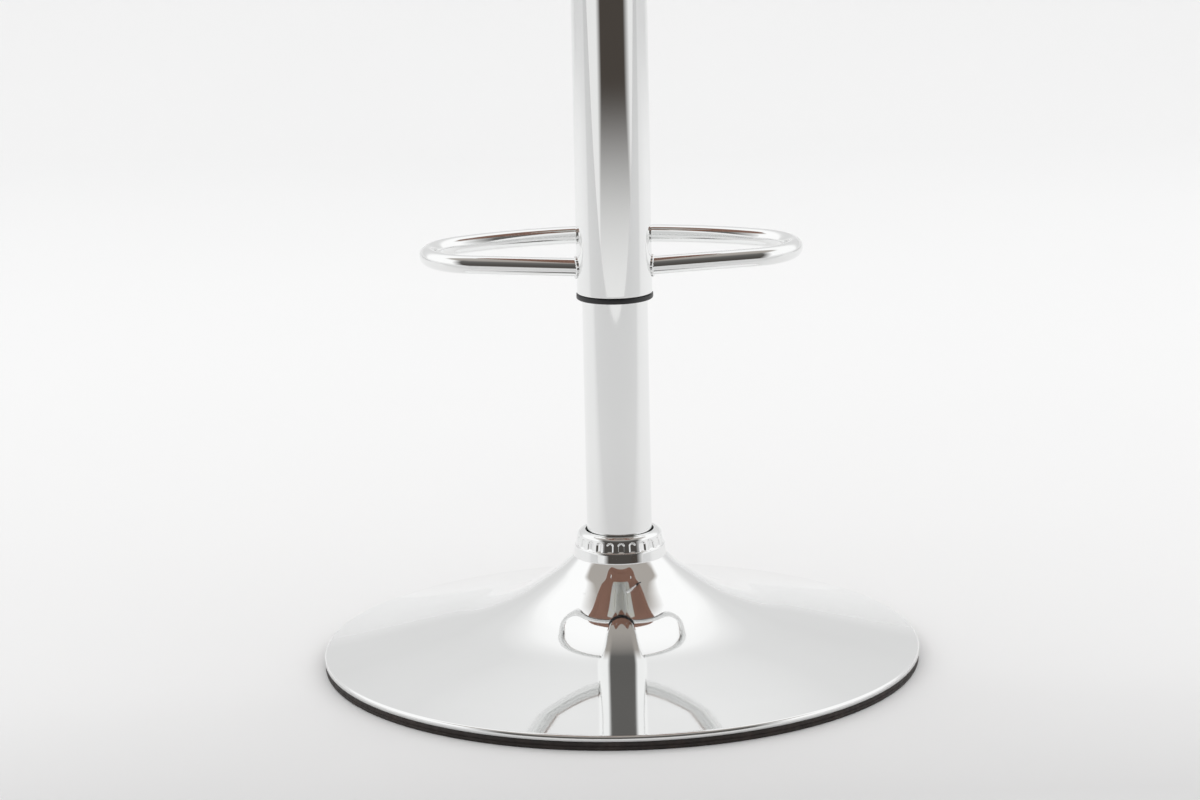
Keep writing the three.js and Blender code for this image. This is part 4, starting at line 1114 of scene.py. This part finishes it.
def make_cover():
    """The leathercloth cover, blown up over its foam by a short cloth simulation."""
    width, foot, seam, crown = seat_facts()
    holder = new_object("seat_cover_block", new_mesh("seat_cover_block", cushion_block()))
    grid = holder.modifiers.new("grid", "REMESH")
    grid.mode = "VOXEL"
    grid.voxel_size = sizes().cloth_voxel
    mesh = baked(holder, "seat_cover_grid")
    raise_crown(mesh, width, seam, crown)
    mesh = swell_cloth(mesh)
    refine_cover(mesh, width, foot, seam, crown)
    cover = place_mesh(
        "leathercloth_cover", mesh, leathercloth(), "seat", ["seat_cover"], sharp=0)
    return cover


def raise_crown(mesh, width, seam, crown):
    """Smooths the grid and raises the top panel to a soft crown."""
    rise = crown - seam - 6.5 * MM
    bm = bmesh.new()
    bm.from_mesh(mesh)
    for _ in range(3):
        even_out(bm)
    for corner in bm.verts:
        x, y, z = corner.co
        if z > seam:
            corner.co.z += rise * crown_share(x, y, width) * smooth_share((z - seam) / (2 * MM))
    bm.to_mesh(mesh)
    bm.free()


def held_weight(co, foot, seam):
    """How firmly the cloth is held at a point: the foot doesn't move and the seam hardly."""
    if co.z < foot + HELD_HEIGHT:
        return 1.0
    return 0.6 if abs(co.z - seam) < 3.5 * MM else 0.0


def swell_cloth(mesh):
    """Runs the cloth on the grid, caps how far each point moved, and returns the swollen mesh."""
    _, foot, seam, _ = seat_facts()
    scene = bpy.context.scene
    holder = new_object("seat_cover_cloth", mesh)
    held = holder.vertex_groups.new(name="held")
    for corner in mesh.vertices:
        weight = held_weight(corner.co, foot, seam)
        if weight:
            held.add([corner.index], weight, "REPLACE")
    rest = [corner.co.copy() for corner in mesh.vertices]
    cloth = holder.modifiers.new("cloth", "CLOTH")
    for name, value in CLOTH_SETTINGS.items():
        setattr(cloth.settings, name, value)
    cloth.settings.effector_weights.gravity = 0
    cloth.point_cache.frame_start = 1
    cloth.point_cache.frame_end = CLOTH_FRAMES
    for number in range(1, CLOTH_FRAMES + 1):
        scene.frame_set(number)
    swollen = evaluated_mesh(holder)
    scene.frame_set(1)
    bpy.data.objects.remove(holder)
    most = sizes().cloth_rise
    for corner, start in zip(swollen.vertices, rest):
        moved = corner.co - start
        if moved.length > most:
            corner.co = start + moved * (most / moved.length)
    return swollen


def refine_cover(mesh, width, foot, seam, crown):
    """Subdivides once, sharpens the sewn lines, gathers the corners and keeps the cover in its box."""
    bm = bmesh.new()
    bm.from_mesh(mesh)
    bmesh.ops.subdivide_edges(bm, edges=bm.edges, cuts=1, smooth=0.6, use_grid_fill=True)
    even_out(bm)
    reach = width / 2 - SEAT_CORNER
    panel_low, panel_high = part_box("seat_underside_cover")
    panel_width, panel_top = panel_high.x - panel_low.x, panel_high.z
    for corner in bm.verts:
        x, y, z = corner.co
        out = Vector((x, y, 0))
        past_x, past_y = abs(x) - reach, abs(y) - reach
        if past_x > 0 and past_y > 0 and z < seam:
            angle = math.atan2(past_y, past_x)
            low_share = 1 - smooth_share((z - foot) / GATHER_HEIGHT)
            pleat = math.sin(angle * GATHERS + math.copysign(1.3, x) + math.copysign(0.7, y))
            ends = math.sin(2 * angle) ** 0.5
            corner.co -= out.normalized() * (GATHER_DEPTH * pleat * low_share * ends)
        core = Vector((min(max(x, -reach), reach), min(max(y, -reach), reach), 0))
        corner.co += (out - core).normalized() * FOOT_PUSH * (1 - smooth_share((z - foot) / FOOT_EDGE))
        near_seam = math.exp(-((z - seam) / SEAM_WIDTH) ** 2)
        if near_seam > 0.01 and out.length > width * 0.3:
            corner.co -= out.normalized() * SEAM_DEPTH * near_seam
        corner.co.z = min(max(corner.co.z, foot), crown + 4 * MM)
        if corner.co.z < foot + 1 * MM and inset(x, y, panel_width) > 2 * MM:
            corner.co.z = panel_top + 0.12 * MM
    bmesh.ops.recalc_face_normals(bm, faces=bm.faces)
    bm.to_mesh(mesh)
    bm.free()


def make_foam_core():
    """Moulded foam block inside the cover."""
    low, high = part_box("seat_foam")
    width, top = SEAT_WIDTH - FOAM_NARROWER, high.z - FOAM_LOWER
    bm = rounded_block(width, low.z, top, SEAT_CORNER, 12)
    narrow_below(bm, (low.z + top) / 2, (width - 2 * SEAT_DRAW_IN) / width)
    level = [e for e in bm.edges if abs(e.verts[0].co.z - e.verts[1].co.z) < 1e-6]
    round_edges(bm, level, 9 * MM, 5)
    piece = hand_over("foam_core", bm, seat_foam(), "seat", ["seat_foam"])


def on_cover(tree, start, inward):
    """Point of the cover that a line from start hits, and its normal."""
    place, normal, _, _ = tree.ray_cast(start, inward)
    if place is None:
        place, normal, _, _ = tree.find_nearest(start)
    return place, normal


def cover_tree(cover):
    return BVHTree.FromPolygons(
        [corner.co for corner in cover.data.vertices], [tuple(face.vertices) for face in cover.data.polygons])


def around_cover(tree, height, spacing):
    """Places and normals round the cover's side at a height."""
    width = seat_facts()[0]
    reach = width / 2 - SEAT_CORNER
    around = []
    for start in square_outline(width + 40 * MM, SEAT_CORNER + 20 * MM, height, spacing):
        core = Vector((min(max(start.x, -reach), reach), min(max(start.y, -reach), reach), height))
        around.append(on_cover(tree, start, (core - start).normalized()))
    return around


def make_welt(cover):
    """Piping sewn in all round between the top panel and the side."""
    radius = sizes().welt_radius
    seam = seat_facts()[2]
    line = [place + normal * radius * 0.35 for place, normal in around_cover(cover_tree(cover), seam, 4 * MM)]
    for _ in range(2):
        line = [(line[i - 1] + line[i] * 2 + line[(i + 1) % len(line)]) / 4 for i in range(len(line))]
    mesh = tube_mesh("seat_welt", line, radius, rings=4, cyclic=True)
    piece = place_mesh("seat_welt", mesh, leathercloth(), "seat")


def stitch_shape(bm, middle, along, away, length):
    """One stitch: a short thread that lies on the cover."""
    verts = bmesh.ops.create_cone(
        bm, cap_ends=True, segments=6, radius1=STITCH_THICKNESS, radius2=STITCH_THICKNESS,
        depth=length)["verts"]
    across = along.cross(away).normalized()
    turn = Matrix((across, away, along)).transposed().to_4x4()
    bmesh.ops.transform(bm, matrix=Matrix.Translation(middle) @ turn, verts=verts)


def make_stitches(cover):
    """A row of stitches all round, under the welt."""
    seam = seat_facts()[2]
    row = around_cover(cover_tree(cover), seam - STITCH_DROP, sizes().stitch_pitch)
    bm = bmesh.new()
    for (here, normal), (there, _) in zip(row, row[1:] + row[:1]):
        along = (there - here).normalized()
        away = (normal - along * normal.dot(along)).normalized()
        stitch_shape(bm, (here + there) / 2 + away * 0.12 * MM, along, away, sizes().stitch_length)
    hand_over("seat_stitches", bm, thread(), "seat", sharp=math.radians(60))


def make_underside_panel():
    """Flat leathercloth panel that closes the seat's underside, with a round hem."""
    low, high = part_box("seat_underside_cover")
    width = high.x - low.x
    bm = rounded_block(width, low.z, high.z, SEAT_CORNER * width / SEAT_WIDTH, 12)
    under = [e for e in bm.edges if all(v.co.z < (low.z + high.z) / 2 for v in e.verts)]
    round_edges(bm, under, 0.5 * MM, 3)
    hand_over(
        "underside_panel", bm, leathercloth(), "seat", ["seat_underside_cover"])


def make_panel_screws():
    """Domed screws with washers that hold the panel at its corners."""
    low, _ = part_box("seat_underside_cover")
    bm = bmesh.new()
    for quarter in range(4):
        place = Matrix.Rotation(quarter * math.pi / 2, 3, "Z") @ PANEL_SCREW
        head = bmesh.ops.create_uvsphere(bm, u_segments=24, v_segments=12, radius=4.5 * MM)["verts"]
        bmesh.ops.scale(bm, verts=head, vec=(1, 1, 0.42))
        washer = bmesh.ops.create_cone(
            bm, cap_ends=True, segments=32, radius1=6.2 * MM, radius2=6.6 * MM, depth=0.8 * MM)["verts"]
        bmesh.ops.translate(bm, verts=washer, vec=(0, 0, 0.4 * MM))
        bmesh.ops.translate(bm, verts=head + washer, vec=(place.x, place.y, low.z - 0.2 * MM))
    hand_over("panel_screws", bm, chrome_plate(), "seat")


# Lift lever

class STOOL_OT_lift_lever(bpy.types.Operator):
    """Makes the bent lever rod with its eye, and the moulded grip"""

    bl_idname = "stool.lift_lever"
    bl_label = "Lift lever"

    def execute(self, context):
        make_lever_rod()
        make_lever_grip()
        return {"FINISHED"}


def lever_pivot():
    low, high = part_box("lever_pivot_pin")
    return (low + high) / 2


def make_lever_rod():
    pivot = lever_pivot()
    inner = at(LEVER_INNER_END, pivot.z)
    elbow = at(pivot.x, pivot.z)
    fall = Vector((math.cos(LEVER_SLOPE), 0, -math.sin(LEVER_SLOPE)))
    tip = elbow + fall * LEVER_LENGTH
    line = [inner, elbow - at(LEVER_BEND, 0)]
    line += interpolate_bezier(
        line[-1], elbow - at(LEVER_BEND / 3, 0), elbow + fall * LEVER_BEND / 3,
        elbow + fall * LEVER_BEND, 8)[1:]
    line += [tip - fall * 1 * MM, tip]
    swell = [1.0] * (len(line) - 1) + [0.75]
    mesh = tube_mesh("lever_bar", line, LEVER_BAR, rings=5, swell=swell)
    place_mesh("lever_bar", mesh, chrome_plate(), "lever", ["lever_rod"])
    eye = (2.8, -6.5), (5.6, -6.5), (6, -6.1), (6, 6.1), (5.6, 6.5), (2.8, 6.5)
    bm = spin_outline([at(x, z) * MM for x, z in eye], 48)
    place = Matrix.Translation(elbow) @ Matrix.Rotation(math.pi / 2, 4, "X")
    bmesh.ops.transform(bm, verts=bm.verts, matrix=place)
    hand_over("lever_eye", bm, chrome_plate(), "lever")


def make_lever_grip():
    """Moulded grip with a finger waist and a ring of fine ribs at its neck."""
    end = GRIP_LENGTH / MM
    outline = [at(4.2, 0), at(5.2, 0)]
    for i in range(5):
        foot, groove, rib = 2 + 2.4 * i, 5.6 + 0.25 * i, 6.2 + 0.2 * i
        outline += [at(groove, foot), at(rib, foot + 0.6), at(rib, foot + 1.2), at(groove + 0.1, foot + 1.8)]
    outline += curve_points(
        (at(7, 15), at(7.6, 18), at(6.8, 28), at(6.9, 35)),
        (at(6.9, 35), at(7, 43), at(7.5, 46), at(7.5, 51)),
        (at(7.5, 51), at(7.5, 56), at(5, end), at(0, end)), steps=8)
    outline += [at(0, 50), at(4.2, 46)]
    bm = spin_outline([point * MM for point in outline], 64)
    pivot = lever_pivot()
    lever = Matrix.Translation(at(pivot.x, pivot.z)) @ Matrix.Rotation(LEVER_SLOPE, 4, "Y")
    place = lever @ Matrix.Translation(at(GRIP_START, 0)) @ Matrix.Rotation(math.pi / 2, 4, "Y")
    bmesh.ops.transform(bm, verts=bm.verts, matrix=place)
    hand_over("lever_hand_grip", bm, moulded_plastic(), "lever", ["lever_grip"])


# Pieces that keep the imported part's own shape

class STOOL_OT_inner_works(bpy.types.Operator):
    """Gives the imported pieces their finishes: seat plate, fasteners, gas spring, bearing and board"""

    bl_idname = "stool.inner_works"
    bl_label = "Inner works"

    def execute(self, context):
        for finish, names in (
            (zinc_plate(), ["seat_plate", "rod_washer", "lever_pivot_pin"]),
            (zinc_plate(), [f"plate_screw_{i}" for i in range(1, 5)] + [f"tee_nut_{i}" for i in range(1, 5)]),
            (turned_steel(), ["tube_foot_plate", "piston_rod", "piston_head", "rod_clip", "release_pin"]),
            (turned_steel(), ["bearing_lower_race", "bearing_upper_race", "bearing_ball_cage"]),
            (black_coated_steel(), ["hub_socket", "base_brace", "gas_cylinder"]),
            (rubber(), ["rubber_bump_stop"]),
            (moulded_plastic(), ["guide_bush", "tube_centring_ring", "rod_guide_seal"]),
            (plywood(), ["seat_board"]),
        ):
            for name in names:
                dress_node(name, finish)
        return {"FINISHED"}


def dress_node(name, finish):
    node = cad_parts[name]
    for slot in node.material_slots:
        slot.material = finish
    if not node.material_slots:
        node.data.materials.append(finish)


class STOOL_PT_panel(bpy.types.Panel):
    """Lists the stool's sizes, colours and pieces"""

    bl_idname = "STOOL_PT_panel"
    bl_label = "Counter stool"
    bl_space_type = "VIEW_3D"
    bl_region_type = "UI"
    bl_category = "Stool"

    def draw(self, context):
        for group in (context.scene.stool_sizes, context.scene.stool_colours):
            column = self.layout.column(align=True)
            for name in group.__annotations__:
                column.prop(group, name)
        for operator in OPERATORS:
            self.layout.operator(operator.bl_idname)


OPERATORS = (
    STOOL_OT_stage,
    STOOL_OT_trumpet_base,
    STOOL_OT_fluted_collar,
    STOOL_OT_column,
    STOOL_OT_footrest,
    STOOL_OT_seat_cushion,
    STOOL_OT_lift_lever,
    STOOL_OT_inner_works,
)
CLASSES = (StoolSizes, StoolColours, *OPERATORS, STOOL_PT_panel)


def register():
    for item in CLASSES:
        bpy.utils.register_class(item)
    bpy.types.Scene.stool_sizes = bpy.props.PointerProperty(type=StoolSizes)
    bpy.types.Scene.stool_colours = bpy.props.PointerProperty(type=StoolColours)


def unregister():
    del bpy.types.Scene.stool_colours
    del bpy.types.Scene.stool_sizes
    for item in reversed(CLASSES):
        bpy.utils.unregister_class(item)


def main():
    register()
    bpy.ops.stool.stage()
    bpy.ops.stool.trumpet_base()
    bpy.ops.stool.fluted_collar()
    bpy.ops.stool.column()
    bpy.ops.stool.footrest()
    bpy.ops.stool.seat_cushion()
    bpy.ops.stool.lift_lever()
    bpy.ops.stool.inner_works()


if __name__ == "__main__":
    main()
